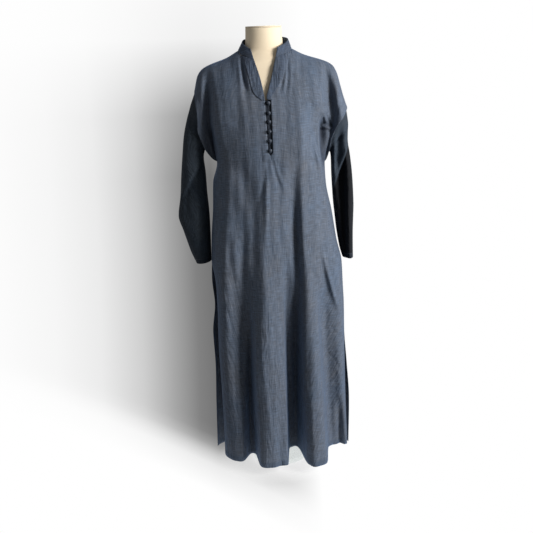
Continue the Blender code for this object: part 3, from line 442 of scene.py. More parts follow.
# A step is a fold that lies over itself: the cloth drops back sharply on the right of its line, as
# seen along it, over its width, and is level again further off than its reach.
Step = namedtuple("Step", "face x1 z1 x2 z2 bow width reach depth")
STEPS = in_mm(Step, (
    ("front", 151, 925, 149, 1056, -4, 4, 30, 33), ("front", -153, 1046, -136, 930, 4, 5, 22, 6),
    ("back", 150, 940, 156, 1040, 3, 6, 30, 6), ("back", -136, 1030, -128, 930, 3, 6, 24, 5),
))
CREASES = {"front": FRONT_CREASES, "back": BACK_CREASES}
# Painted shade under the arms: beside these lines the cloth's colour is darkened, by the share in the last
# column.
UNDERARM_PAINTED_SHADE = in_mm(Step, (
    ("front", 151, 905, 148, 1050, -3, 4, 30, 1), ("front", -156, 1040, -146, 930, 4, 5, 24, 0.8),
), plain=1)
RIM_AT, RIM_SHARE = 2.1, 0.30   # a trough's low ridges: how far out, in widths, and how high
STEP_FADE = 5.0         # a step reaches its full depth a fifth of the way along
RIPPLES = 9             # slow waves that keep the cloth from looking pressed
RIPPLE_DEPTH = 0.0005
waves = np.random.default_rng(11)
ripple_rows = np.column_stack([waves.uniform(60, 260, RIPPLES), waves.uniform(6, 26, RIPPLES),
                               waves.uniform(0, 6.28, RIPPLES), waves.uniform(0.5, 1.0, RIPPLES)])


def beside(line, x, z):
    """Share of the way along a line, from 0 to 1, and the distance to its right, less its bow."""
    run_x, run_z = line.x2 - line.x1, line.z2 - line.z1
    length = math.hypot(run_x, run_z)
    inside = np.clip(((x - line.x1) * run_x + (z - line.z1) * run_z) / length ** 2, 0.0, 1.0)
    aside = ((x - line.x1) * run_z - (z - line.z1) * run_x) / length
    return inside, aside - line.bow * 4 * inside * (1 - inside)


def soft_switch(distance, width):
    """0 on one side of a line and 1 on the other."""
    return 1 / (1 + np.exp(-np.clip(4 * distance / width, -30, 30)))


def crease_depth(crease, x, z):
    inside, aside = beside(crease, x, z)
    aside = aside / crease.width
    rims = np.exp(-(aside - RIM_AT) ** 2) + np.exp(-(aside + RIM_AT) ** 2)
    return crease.depth * np.sin(math.pi * inside) ** 0.8 * (np.exp(-aside ** 2) - RIM_SHARE * rims)


def step_depth(step, x, z):
    """The cloth on the right of a line drops back, and comes forward again further off."""
    inside, aside = beside(step, x, z)
    strength = np.minimum(1.0, STEP_FADE * np.minimum(inside, 1 - inside))
    fade = np.exp(-(np.maximum(aside, 0) / step.reach) ** 2)
    return step.depth * strength * soft_switch(aside, step.width) * fade


def ripple(x, z):
    total = 0
    for fast, slow, start, part in ripple_rows:
        total = total + part * np.sin(fast * x + start + 1.5 * np.sin(slow * z + start))
    return RIPPLE_DEPTH * total


print("creases:", {face: len(rows) for face, rows in CREASES.items()})


# %% [markdown]
# ## Where the cloth lies
# One function gives how far forward or back the cloth lies at any place. Across the chest it is a
# squarish oval. Past the oval the dropped shoulders hang as wings, and near the top everything rounds
# over the shoulder.


# %% The surface of the cloth
def shoulder_z(x):
    return read(SHOULDER, x, "z")


def fold_depth(fold, x, z):
    along = (z - fold.low_z) / (fold.high_z - fold.low_z)
    inside = np.clip(along, 0.0, 1.0)
    strength = {"hem": (1 - inside) ** 1.2, "mid": np.sin(math.pi * inside) ** 1.5,
                "neck": inside ** 1.2 * np.minimum(1.0, (1 - inside) / FOLD_END)}[fold.deepest]
    aside = x - (fold.low_x + (fold.high_x - fold.low_x) * along)
    width = np.where(aside < 0, fold.left_width, fold.right_width)
    depth = fold.depth * strength * np.exp(-np.abs(aside / width) ** fold.power)
    return np.where(along == inside, depth, 0.0)


def cloth_y(face, x, z, fine=True):
    """Y of the middle of the wall of the front or back at x and z."""
    table = SECTIONS[face]
    level = z / (1 - SLANT * x)
    left, right = read(table, level, "left_x"), read(table, level, "right_x")
    across = np.clip((x - left) / (right - left), 0.0, 1.0)
    edge_y = read(table, level, "left_y") * (1 - across) + read(table, level, "right_y") * across
    aside = np.abs(2 * across - 1)
    power = read(table, level, "roundness")
    chest = (read(table, level, "crown_y") - edge_y) * (1 - aside ** power) ** (1 / power)
    wing = read(table, level, "wing_y") * aside ** 3
    reach = np.copysign((np.abs(chest) ** 3 + np.abs(wing) ** 3) ** (1 / 3), chest + wing)
    folds = sum(fold_depth(fold, x, z) for fold in FOLDS[face])
    if fine:
        small = sum(crease_depth(crease, x, z) for crease in CREASES[face])
        small = small + sum(step_depth(step, x, z) for step in STEPS if step.face == face)
        folds = folds + ripple(x, z) - OUT[face] * small
    below = np.clip((shoulder_z(x) - z) / SHOULDER_ROLL, 0.0, 1.0)
    rounding = np.sqrt(1 - (1 - below) ** 2)
    return edge_y + (reach + folds * np.minimum(1.0, np.abs(reach) / FOLD_FADE)) * rounding


# %% [markdown]
# ## Rows and columns
# A panel is a grid. Below the arm its rows follow the levels, and the columns are spaced evenly along
# the cloth itself, so a deep fold gets as many as it needs. Above the arm the grid is stretched
# between four edges: the underarm row, the armhole, the neck or placket slit, and the shoulder.

# %% Panel grids
FRONT_COLUMNS = 90
BACK_COLUMNS = 70
SHOULDER_COLUMNS = {"front": 70, "back": 45}
BAND_COLUMNS = 10
LOWER_ROWS = 132
UPPER_ROWS = 90
ROW_CROWDING = 0.65
SLIT_ROWS = 45


def flat(points):
    """Places (x, z) in millimetres as points in metres, with Y still 0."""
    return np.array([(x / 1000, 0.0, z / 1000) for x, z in points])


def low_row(face, side, level, columns):
    """Points of one half of a panel at one level, from its side edge to the centre."""
    table = SECTIONS[face]
    left, right = float(read(table, level, "left_x")), float(read(table, level, "right_x"))
    middle, half = (left + right) / 2, (right - left) / 2
    start = -math.pi / 2 if side == "left" else math.pi / 2
    end = math.asin((CENTRE_X - middle) / half)
    x = middle + half * np.sin(np.linspace(start, end, 400))
    x[-1] = CENTRE_X
    z = level * (1 - SLANT * x)
    row = spread(np.column_stack([x, cloth_y(face, x, z, False), z]), columns)
    return np.column_stack([row[:, 0], cloth_y(face, row[:, 0], row[:, 2]), row[:, 2]])


def shoulder_line(side, count):
    x = np.linspace(*SHOULDER_SEAM[side], 200)
    return spread(np.column_stack([x, 0 * x, shoulder_z(x)]), count)


def neck_line(face, side, count):
    neck = SHOULDER_SEAM[side][1]
    start = [(neck, 0.0, float(shoulder_z(neck)))]
    line = smooth_line(np.vstack([start, flat(NECK_SEAM[face, side])]))
    if face == "back":
        return spread(line, count)
    corner = int(np.argmin(np.linalg.norm(line - flat(NECK_SEAM[face, side])[1], axis=1)))
    return np.vstack([spread(line[:corner + 1], count - BAND_COLUMNS),
                      spread(line[corner:], BAND_COLUMNS)[1:]])


def high_rows(face, side, bottom, columns):
    """Rows of one half of a panel above the underarm, between its four edges."""
    across = SHOULDER_COLUMNS[face]
    top = np.vstack([shoulder_line(side, across), neck_line(face, side, columns - across)[1:]])
    bottom = bottom * (1, 0, 1)
    outer = spread(smooth_line(np.vstack([bottom[:1], flat(ARMHOLE[side])])), UPPER_ROWS, ROW_CROWDING)
    if face == "front":
        slit = spread(np.vstack([bottom[-1:], flat(SLIT_EDGE[side])]), SLIT_ROWS)
        neck = spread(smooth_line(flat(NECK_EDGE[side])), UPPER_ROWS - SLIT_ROWS, ROW_CROWDING)
        inner = np.vstack([slit, neck[1:]])
    else:
        inner = spread(np.vstack([bottom[-1:], [(CENTRE_X, 0.0, BACK_NECK_Z)]]), UPPER_ROWS, ROW_CROWDING)
    v = np.arange(UPPER_ROWS + 1) / UPPER_ROWS
    v = (v - ROW_CROWDING * np.sin(2 * math.pi * v) / (2 * math.pi))[:, None, None]
    u = (np.arange(columns + 1) / columns)[None, :, None]
    rows = ((1 - v) * bottom + v * top + (1 - u) * outer[:, None] + u * inner[:, None]
            - (1 - u) * (1 - v) * bottom[0] - u * (1 - v) * bottom[-1]
            - (1 - u) * v * top[0] - u * v * top[-1])[1:]
    rows[..., 1] = cloth_y(face, rows[..., 0], rows[..., 2])
    return rows


def panel_half(face, side):
    columns = FRONT_COLUMNS if face == "front" else BACK_COLUMNS
    levels = np.linspace(SECTIONS[face][0].level, UNDERARM_LEVEL, LOWER_ROWS + 1)
    low = np.array([low_row(face, side, level, columns) for level in levels])
    rows = np.concatenate([low, high_rows(face, side, low[-1], columns)])
    rows[..., 1] += OUT[face] * SEAM_GAP / 2
    return rows


panels = {(face, side): panel_half(face, side) for face in SECTIONS for side in SHOULDER_SEAM}
print("panel grids:", {key: rows.shape[:2] for key, rows in panels.items()})


# %% [markdown]
# ## From a grid to a piece of cloth
# A grid of faces is made with one operator and then laid through the rows. Each corner also learns
# where it lies on the flat cloth, measured in metres along the warp and the weft. A Solidify modifier
# gives the sheet its thickness.


# %% Cloth from a grid
def lengths_along(rows, axis):
    """How far along each line of a grid its points lie, in metres."""
    steps = np.linalg.norm(np.diff(rows, axis=axis), axis=2)
    return np.insert(np.cumsum(steps, axis=axis), 0, 0.0, axis=axis)


def flat_measure(rows):
    """How far along the weft and the warp each point of a grid lies, in metres."""
    across = lengths_along(rows, 1)
    side = math.copysign(1.0, float(rows[0, -1, 0] - rows[0, 0, 0]))
    return np.stack([rows[:, -1:, 0] - side * (across[:, -1:] - across), lengths_along(rows, 0)], axis=2)


def lay_grid(bm, rows, measure=None, hem=None, painted_shade=None):
    """A grid laid through rows of points. The last two are shares for the material: the hem's darker strip
    and painted shade.
    """
    steps, columns = len(rows) - 1, len(rows[0]) - 1
    measure = flat_measure(rows) if measure is None else measure
    cloth_layer = bm.loops.layers.uv.get("cloth") or bm.loops.layers.uv.new("cloth")
    shares = []
    for name, values in (("hem", hem), ("painted_shade", painted_shade)):
        layer = bm.verts.layers.float.get(name) or bm.verts.layers.float.new(name)
        shares.append((layer, (rows[..., 0] * 0 if values is None else values).tolist()))
    made = bmesh.ops.create_grid(bm, x_segments=columns, y_segments=steps, size=1.0)["verts"]
    points, place = rows.tolist(), {}
    for vert in made:
        i, j = round((vert.co.x + 1) / 2 * columns), round((vert.co.y + 1) / 2 * steps)
        place[vert] = (j, i)
        vert.co = points[j][i]
        for layer, values in shares:
            vert[layer] = values[j][i]
    for face in {face for vert in made for face in vert.link_faces}:
        face.smooth = True
        for loop in face.loops:
            loop[cloth_layer].uv = measure[place[loop.vert]]


def new_object(name, data):
    made = bpy.data.objects.new(name, data)
    bpy.context.scene.collection.objects.link(made)
    return made


def mesh_object(name, bm, material):
    mesh = bpy.data.meshes.new(name)
    bm.to_mesh(mesh)
    bm.free()
    mesh.materials.append(material)
    return new_object(name, mesh)


def fit(made, node=None):
    """Every piece rides on the body, and may stand for one of the solids."""
    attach(made, "root")
    if node:
        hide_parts(node)
    return made


def join_sheets(bm):
    bmesh.ops.remove_doubles(bm, verts=bm.verts[:], dist=0.00001)


def cloth_piece(name, node, sheets, wall, material):
    """A piece of cloth from one or more grids, each with its flat measure and its shares of hem and of
    painted shade.
    """
    bm = bmesh.new()
    for sheet in sheets:
        lay_grid(bm, *sheet)
    join_sheets(bm)
    bmesh.ops.recalc_face_normals(bm, faces=bm.faces[:])
    area = sum(face.calc_area() for face in bm.faces)
    made = fit(mesh_object(name, bm, material), node)
    solid = made.modifiers.new("wall", "SOLIDIFY")
    solid.thickness = wall
    solid.offset = 0.0
    print(name, "area in m2:", round(area, 4), "faces:", len(made.data.polygons))
    return made


# %% [markdown]
# ## Front and back
# The hems of the skirt and of the side slits are turned up twice and stitched, so the cloth there is
# three layers deep. That shows as a slightly raised and darker strip that ends at the stitching.

# %% Front and back panels
HEM_DEPTH = 0.018
SLIT_HEM = 0.010
SLIT_TOP_LEVEL = 0.632
HEM_RISE = 0.0006
HEM_SHADE = 0.7         # how much of the hem's own shade shows


def outward_normals(rows, face=None):
    """Directions out of a grid: off the front or back, or away from the middle of a tube."""
    normals = np.cross(np.gradient(rows, axis=1), np.gradient(rows, axis=0))
    normals /= np.linalg.norm(normals, axis=2)[..., None]
    if face:
        away = normals[..., 1:2] * OUT[face]
    else:
        away = ((rows - rows.mean(axis=1, keepdims=True)) * normals).sum(axis=2, keepdims=True)
    return normals * np.where(away < 0, -1.0, 1.0)


def step_down(distance, depth, soft=0.0012):
    """1 inside a hem, 0 past its stitching."""
    return 1 / (1 + np.exp((distance - depth) / soft * 2))


def slit_rows(face):
    """How many rows of a panel lie below the top of the side slit."""
    low = SECTIONS[face][0].level
    return LOWER_ROWS * (SLIT_TOP_LEVEL - low) / (UNDERARM_LEVEL - low)


def finish_panel(face, side):
    rows = panels[face, side]
    measure = flat_measure(rows)
    in_from_edge = np.abs(measure[..., 0] - measure[:, :1, 0])
    beside_slit = np.clip((slit_rows(face) - np.arange(len(rows))) / 3, 0, 1)[:, None]
    hem = np.maximum(step_down(measure[..., 1], HEM_DEPTH), step_down(in_from_edge, SLIT_HEM) * beside_slit)
    # painted shade under the arms, as a share
    painted_shade = sum(step_depth(step, rows[..., 0], rows[..., 2]) for step in UNDERARM_PAINTED_SHADE if step.face == face)
    raised = rows + outward_normals(rows, face) * (hem * HEM_RISE)[..., None]
    return raised, measure, HEM_SHADE * hem, painted_shade + 0 * hem


for face in SECTIONS:
    sheets = [finish_panel(face, side) for side in SHOULDER_SEAM]
    cloth_piece("cloth_" + face, face, sheets, WALL, body_cotton)

# %% [markdown]
# ## Neck bands and collar
# The V of the neck is faced with two bands that lie on the front, and the stand collar rises from the
# seam all round. Both have a stiffener inside, so they are smooth and hold their edges. The bands are
# made from the front's own last columns, lifted by a layer of cloth.

# %% Bands and collar
BAND_WALL = 0.0010
COLLAR_WALL = 0.0018
COLLAR_COLUMNS = 26
COLLAR_ROWS = 12
COLLAR_BULGE = 0.001
COLLAR_GAP = 0.0003     # between the collar's foot and the neck seam
Stand = namedtuple("Stand", "x y z")
COLLAR_TOP = in_mm(Stand, (          # the collar's upper edge, from its left front end round the back
    (-40, -56, 1247), (-57, -34, 1260), (-62.5, -4, 1275), (-44, 40, 1286), (3, 57, 1290),
    (49, 40, 1287), (66.5, -4, 1276.5), (57, -33, 1262), (35, -56, 1249),
))
Taper = namedtuple("Taper", "above left right")
BAND_TAPER = in_mm(Taper, (          # share of a neck band's whole width at a height above its foot
    (0, 0.24, 0.16), (8, 0.7, 0.4), (18, 0.94, 0.62), (36, 1, 0.84), (64, 1, 1),
), plain=2)


def band_rows(side):
    rows = panels["front", side]
    lift = outward_normals(rows, "front") * (WALL / 2 + SEAM_GAP / 2 + BAND_WALL)
    lifted = (rows + lift)[LOWER_ROWS + SLIT_ROWS:]
    band, foot_z = [], lifted[0, -1, 2]
    for row in lifted:
        share = read(BAND_TAPER, row[-1, 2] - foot_z, side)
        steps = FRONT_COLUMNS - BAND_COLUMNS * share * np.linspace(1, 0, BAND_COLUMNS + 1)
        band.append([[np.interp(s, np.arange(len(row)), row[:, k]) for k in range(3)] for s in steps])
    return np.array(band)


band_grids = {side: band_rows(side) for side in SHOULDER_SEAM}
band_pieces = {side: cloth_piece("neck_band_cloth_" + side, "neck_band_" + side, [(rows,)], BAND_WALL,
                                 collar_cotton) for side, rows in band_grids.items()}


def neck_points():
    """The neck seam all round, from the left front end over the back to the right front end."""
    quarters = []
    for face, side in (("front", "left"), ("back", "left"), ("back", "right"), ("front", "right")):
        line = neck_line(face, side, COLLAR_COLUMNS)
        line[:, 1] = cloth_y(face, line[:, 0], line[:, 2], False)
        quarters.append(line if (face, side) in (("back", "left"), ("front", "right")) else line[::-1])
    return np.vstack(quarters[:1] + [quarter[1:] for quarter in quarters[1:]])


seam = neck_points()
top = spread(smooth_line(COLLAR_TOP), len(seam) - 1)
rise = (top - seam) / np.linalg.norm(top - seam, axis=1)[:, None]
foot = seam + rise * (SEAM_GAP + WALL / 2 + COLLAR_GAP)
outward = foot * (1, 1, 0)
outward /= np.linalg.norm(outward, axis=1)[:, None]
share = (np.arange(COLLAR_ROWS + 1) / COLLAR_ROWS)[:, None, None]
collar_grid = foot * (1 - share) + top * share + outward * COLLAR_BULGE * np.sin(math.pi * share)
collar = cloth_piece("stand_collar", "collar", [(collar_grid,)], COLLAR_WALL, collar_cotton)

# %% [markdown]
# ## Sleeves
# Each sleeve is an empty tube that hangs from inside the armhole. Smooth curves join its rings, and
# the tube then gets its own creases: a long diagonal one where the sleeve folds over at the elbow, and
# small ones at the armhole.

# %% Sleeves
SLEEVE_SIDES = 72
RING_ROWS = 12          # rows between two rings
SLEEVE_TUCK = 0.006
SLEEVE_INSET = 0.0027   # the sleeve's first ring lies this far inside the wings
CUFF_DEPTH = 0.015
SLEEVE_RIPPLE = 0.8     # share of the panels' slow waves
CREASE_REACH, STEP_REACH = 1.6, 1.2     # more than 1 keeps full depth further round the tube
# Each ring has its outermost and innermost point, and its half depth and middle in Y. The first
# ring, along the armhole, is made from the panels themselves.
Ring = namedtuple("Ring", "outer_x outer_z inner_x inner_z half_depth middle_y")
SLEEVES = {
    "left": in_mm(Ring, (
        (-227, 1085, -174, 971, 39, -3), (-238, 1048, -184, 975, 39, -3),
        (-246, 1010, -190, 968, 40, -3), (-253, 960, -193.5, 945, 44, -2),
        (-261, 898, -190, 898, 52, 0), (-267, 840, -187.8, 850, 57, 2), (-275.5, 790, -185, 802, 59, 3),
        (-274, 762, -184.3, 766, 57, 3), (-259, 718, -184.8, 721, 54, 2),
        (-243, 666, -186.5, 669, 50, 1), (-231, 637, -187.2, 641, 48, 0),
    )),
    "right": in_mm(Ring, (
        (235.5, 1035, 173, 948, 31, -1), (234.5, 1008, 177.5, 954, 35, -1),
        (234, 978, 181, 950, 40, -2), (239, 940, 183, 928, 44, -1), (244, 875, 184.5, 880, 53, 1),
        (246, 804, 188, 815, 59, 3), (245.5, 760, 192.5, 765, 57, 3), (245, 718, 197, 718, 55, 2),
        (244.5, 674, 204, 674, 51, 1), (243.5, 637, 213, 637, 48, 0),
    )),
}
SleeveCrease = namedtuple("SleeveCrease", "face x1 z1 x2 z2 bow width depth")
SLEEVE_CREASES = {
    "left": in_mm(SleeveCrease, (
        ("front", -214, 1110, -222, 980, 4, 6, 2), ("front", -236, 800, -222, 680, 4, 7, 2),
        ("front", -200, 790, -198, 670, 3, 5, -1.6), ("back", -190, 930, -262, 850, 6, 6, 4),
        ("back", -220, 1060, -226, 940, 4, 6, 2), ("back", -230, 800, -214, 680, 4, 7, 2),
    )),
    "right": in_mm(SleeveCrease, (
        ("front", 196, 1050, 187, 830, 2, 5, -5), ("front", 210, 1080, 201, 880, 0, 10, 12),
        ("back", 226, 970, 192, 850, 6, 6, 4), ("back", 222, 830, 224, 680, 4, 7, 2.2),
    )),
}
SLEEVE_STEPS = {
    "left": in_mm(Step, (
        ("front", -318, 757, -158, 996, 4, 3.4, 60, 22), ("back", -172, 960, -285, 830, 6, 5, 50, 10),
    )),
    "right": in_mm(Step, (
        ("front", 223, 975, 220, 560, 0, 8, 50, 28), ("front", 160, 773, 262, 1045, 0, 5, 60, 14),
        ("front", 262, 1045, 160, 773, 0, 4.4, 10, -4), ("back", 250, 860, 170, 960, 6, 5, 50, 10),
    )),
}
# below its fold the right sleeve gets painted shade, strongest on its front
SLEEVE_PAINTED_SHADE = {"right": Step("front", 0.160, 0.773, 0.262, 1.045, 0.000, 0.0040, 1.0, 1.0)}


def armhole_ring(side):
    """The sleeve's first ring: round the armhole, just inside the wings' edges."""
    half = SLEEVE_SIDES // 2
    normals = {face: outward_normals(panels[face, side], face) for face in SECTIONS}
    ring = []
    for k in range(SLEEVE_SIDES):
        face = "front" if k <= half else "back"
        rows = panels[face, side]
        j = int(round(len(rows) - 1 - UPPER_ROWS * min(k, SLEEVE_SIDES - k) / half))
        edge, inside = rows[j][0], rows[j][5]
        point = edge + (inside - edge) / np.linalg.norm(inside - edge) * SLEEVE_TUCK
        if k in (0, half):
            inward = math.copysign(2 * SLEEVE_INSET, -point[0])
            point = np.array((point[0] + inward, 0.0, edge[2] if k == 0 else edge[2] + 2 * SLEEVE_INSET))
        else:
            point = point - SLEEVE_INSET * normals[face][j, 0]
        ring.append(point)
    return ring


def sleeve_rows(side):
    angles = 2 * math.pi * np.arange(SLEEVE_SIDES) / SLEEVE_SIDES
    rings = [np.array(armhole_ring(side))]
    for ring in SLEEVES[side]:
        outer, inner = np.array((ring.outer_x, 0, ring.outer_z)), np.array((ring.inner_x, 0, ring.inner_z))
        points = (outer + inner) / 2 + (outer - inner) / 2 * np.cos(angles)[:, None]
        points[:, 1] = ring.middle_y - ring.half_depth * np.sin(angles)
        rings.append(points)
    rows = smooth_line(np.reshape(rings, (len(rings), -1)), RING_ROWS).reshape(-1, SLEEVE_SIDES, 3)
    rows = np.concatenate([rows, rows[:, :1]], axis=1)
    normals = outward_normals(rows)
    x, z = rows[..., 0], rows[..., 2]
    push = ripple(x * 1.3, z) * SLEEVE_RIPPLE
    # creases and steps run straight in, so that deep ones never pass through each other
    inward = np.zeros_like(push)
    for lines, depth, round_to in ((SLEEVE_CREASES, crease_depth, CREASE_REACH),
                                   (SLEEVE_STEPS, step_depth, STEP_REACH)):
        for line in lines[side]:
            facing = np.clip(OUT[line.face] * normals[..., 1] * round_to, 0, 1)
            inward -= OUT[line.face] * facing * depth(line, x, z)
    # painted shade below the right sleeve's fold, strongest where the sleeve faces the front
    painted_shade = np.zeros_like(push)
    if side in SLEEVE_PAINTED_SHADE:
        fold = SLEEVE_PAINTED_SHADE[side]
        painted_shade = soft_switch(beside(fold, x, z)[1], fold.width) * np.clip(0.6 - normals[..., 1] * 1.2, 0, 1)
    fade = np.clip(np.arange(len(rows)) / RING_ROWS, 0, 1)[:, None]
    rows = rows + normals * (push * fade)[..., None]
    rows[..., 1] += inward * fade
    rows[:, -1] = rows[:, 0]
    return rows, painted_shade


sleeve_grids, sleeve_pieces = {}, {}
for side in SLEEVES:
    sleeve_grids[side], painted_shade = sleeve_rows(side)
    measure = flat_measure(sleeve_grids[side])
    hem = HEM_SHADE * step_down(measure[-1:, :, 1] - measure[..., 1], CUFF_DEPTH)
    sheet = (sleeve_grids[side], measure, hem, painted_shade)
    sleeve_pieces[side] = cloth_piece("sleeve_cloth_" + side, "sleeve_" + side, [sheet], WALL,
                                      shaded_sleeve_cotton[side])

# %% [markdown]
# ## Placket, buttons and loops
# Behind the slit lies a dark underlap. Six small balls, covered in dark cotton too, are sewn down its
# middle, and a loop of narrow cord from the edge of the slit goes round the foot of each.

# %% Placket underlap
PLACKET_HALF_WIDTH = 0.013
PLACKET_LOW_Z, PLACKET_HIGH_Z = 0.950, 1.104
BEHIND = 0.0016         # the underlap lies this far behind the front
BUTTON_X = 0.0036
x, z = np.meshgrid(CENTRE_X + PLACKET_HALF_WIDTH * np.linspace(-1, 1, 9),
                   np.linspace(PLACKET_LOW_Z, PLACKET_HIGH_Z, 60))
placket_grid = np.stack([x, cloth_y("front", x, z, False) + BEHIND, z], axis=2)
placket = cloth_piece("placket_cloth", "placket_underlap", [(placket_grid,)], WALL, navy_cotton)

# %% [markdown]
# A ball button is a scrap of cloth drawn round a small core. The gathers of the scrap run from the
# front to the back of the ball, so the ball is a sphere with faint ribs, and its threads show.

# %% Ball buttons
BUTTON_HEIGHTS = (1.0965, 1.0695, 1.0455, 1.0190, 0.9935, 0.9670)
BUTTON_RADIUS = 0.0052
LOOP_RADIUS = 0.0054
LOOP_DROP = 0.0010
LOOP_CORD = 0.0012
POINT_GAP = 0.0003      # between two pieces that touch
RIB_DEPTH = 0.030       # share of the ball's radius
UNDERLAP_WALL = 0.0015
LIFT = BEHIND - UNDERLAP_WALL / 2       # from the front's middle to the face of the underlap's solid
ball_cotton = speckled("ball_button_navy_cotton", ((0.35, "#10151d"), (0.65, "#39424f")), (900.0, 2.0),
                       (900.0, 2.0), 0.6, Roughness=0.55, Sheen_Weight=0.3, Sheen_Tint=linear("#8fa2bf"))

around, down = np.meshgrid(np.linspace(0, 2 * math.pi, 25), np.linspace(0, math.pi, 15))
ribs = 1 - RIB_DEPTH * (0.5 - 0.5 * np.cos(8 * around)) * np.sin(down) ** 2
ball = BUTTON_RADIUS * np.stack([ribs * np.sin(down) * np.cos(around), ribs * np.sin(down) * np.sin(around),
                                 ribs * np.cos(down)], axis=2)
for number, height in enumerate(BUTTON_HEIGHTS, 1):
    face_y = float(cloth_y("front", BUTTON_X, height, False)) + LIFT
    bm = bmesh.new()
    lay_grid(bm, ball)
    join_sheets(bm)
    bmesh.ops.recalc_face_normals(bm, faces=bm.faces[:])
    turn = Matrix.Rotation(math.radians(90 + 9 * number % 20), 3, "X")
    bmesh.ops.rotate(bm, verts=bm.verts[:], matrix=turn)
    bmesh.ops.translate(bm, verts=bm.verts[:], vec=(BUTTON_X, face_y - POINT_GAP - BUTTON_RADIUS, height))
    made = mesh_object("ball_button_%d" % number, bm, ball_cotton)
    fit(made, "button_%d" % number)

# %% Cord loops
for number, height in enumerate(BUTTON_HEIGHTS, 1):
    angles = np.radians(np.linspace(-150, 150, 25))
    x = BUTTON_X + LOOP_RADIUS * np.cos(angles)
    z = height - LOOP_DROP + LOOP_RADIUS * np.sin(angles)
    y = cloth_y("front", x, z, False) + LIFT - 2 * POINT_GAP - LOOP_CORD / 2
    curve = bpy.data.curves.new("cord_loop_%d" % number, "CURVE")
    curve.dimensions = "3D"
    curve.bevel_depth = LOOP_CORD / 2
    curve.bevel_resolution = 3
    curve.use_fill_caps = True
    spline = curve.splines.new("POLY")
    spline.points.add(len(x) - 1)
    for point, place in zip(spline.points, zip(x, y, z)):
        point.co = (*place, 1.0)
    curve.materials.append(ball_cotton)
    fit(new_object("cord_loop_%d" % number, curve), "loop_%d" % number)
print("loops:", len(BUTTON_HEIGHTS))

# %% [markdown]
# ## Stitching
# Rows of machine stitches hold the hems, the cuffs and the edges of the collar and bands. A stitch is
# a short thread that lies on the cloth and dips in at both ends. Each one is a small flattened box, so
# hundreds of them stay light.

# %% Stitching
STITCH, STITCH_GAP, THREAD_WIDTH = 0.0030, 0.0012, 0.0005
INSIDE_HEM = 0.001      # a hem's stitches lie this far inside its edge
thread = speckled("polyester_sewing_thread", ((0.3, "#333d4a"), (0.7, "#46515f")), (700.0, 1.0),
                  Roughness=0.5, Sheen_Weight=0.2)


def stitch_line(name, lines):
    """Stitches along lines of rows. Each row is a point and the direction out of the cloth."""
    bm = bmesh.new()
    for line in lines:
        length = float(np.linalg.norm(np.diff(line[:, :3], axis=0), axis=1).sum())
        count = max(2, int(length / (STITCH + STITCH_GAP)))
        places = spread(line, 2 * count)
        for start, end in zip(places[::2], places[1::2]):
            a, b, out = Vector(start[:3]), Vector(end[:3]), Vector(start[3:]).normalized()
            run = (b - a).normalized()
            side = run.cross(out).normalized()
            middle = (a + b) / 2 + out * (WALL / 2 + THREAD_WIDTH * 0.2)
            turn = Matrix((run, side, side.cross(run) * -1)).transposed().to_4x4()
            size = Matrix.Diagonal((STITCH, THREAD_WIDTH, THREAD_WIDTH * 0.8, 1.0))
            bmesh.ops.create_cube(bm, size=1.0, matrix=Matrix.Translation(middle) @ turn @ size)
    bmesh.ops.recalc_face_normals(bm, faces=bm.faces[:])
    print(name, "faces:", len(bm.faces))
    return fit(mesh_object(name, bm, thread))


def line_at(rows, normals, distance, from_end=False, upright=False):
    """The line in a grid at a distance from its first row, or upright from its first column."""
    grid = np.concatenate([rows, normals], axis=2)
    grid = grid.swapaxes(0, 1) if upright else grid
    grid = grid[::-1] if from_end else grid
    far = lengths_along(grid[..., :3], 0)
    return np.array([[np.interp(distance, far[:, i], grid[:, i, k]) for k in range(6)]
                     for i in range(grid.shape[1])])


for face in SECTIONS:
    lines = []
    for side in SHOULDER_SEAM:
        rows = finish_panel(face, side)[0]
        normals = outward_normals(rows, face)
        slit, armhole = slice(int(slit_rows(face)) + 1), slice(LOWER_ROWS + 4, None)
        lines += [line_at(rows, normals, HEM_DEPTH - INSIDE_HEM),
                  line_at(rows[slit], normals[slit], SLIT_HEM - INSIDE_HEM, upright=True),
                  line_at(rows[armhole], normals[armhole], 0.003, upright=True)]
    stitch_line("hem_stitching_" + face, lines)

for side, rows in sleeve_grids.items():
    line = line_at(rows, outward_normals(rows), CUFF_DEPTH - INSIDE_HEM, from_end=True)
    stitch_line("cuff_stitching_" + side, [line])

collar_lines = [line_at(collar_grid, outward_normals(collar_grid), distance, end)
                for distance, end in ((0.002, False), (0.003, True))]
for line in collar_lines:       # the collar's wall is thicker than the cloth's
    line[:, :3] += 0.0005 * line[:, 3:]
collar_stitches = stitch_line("collar_stitching", collar_lines)
stitch_line("neck_band_stitching", [line_at(rows, outward_normals(rows, "front"), 0.002, end, upright=True)
                                    for rows in band_grids.values() for end in (False, True)])

# the facing of the slit is stitched down on the inside, and its stitches show on the front
FACING = (((-20.5, 1100), (-20, 965), (-15, 942), (-2, 936)),
          ((26.5, 1100), (26, 965), (21, 942), (8, 936)))
facing_lines = []
for points in FACING:
    line = smooth_line(flat(points), 16)
    line[:, 1] = cloth_y("front", line[:, 0], line[:, 2]) - SEAM_GAP / 2
    facing_lines.append(np.hstack([line, np.tile((0.0, -1.0, 0.0), (len(line), 1))]))
stitch_line("placket_stitching", facing_lines)

# %% [markdown]
# ## The dress form
# The tunic hangs on a padded form of papier-mache, covered in cream jersey, with no arms and no head.
# Only its neck and a little of its chest show, but it is whole underneath. The jersey is a fine knit
# stretched tight, so it is nearly smooth.


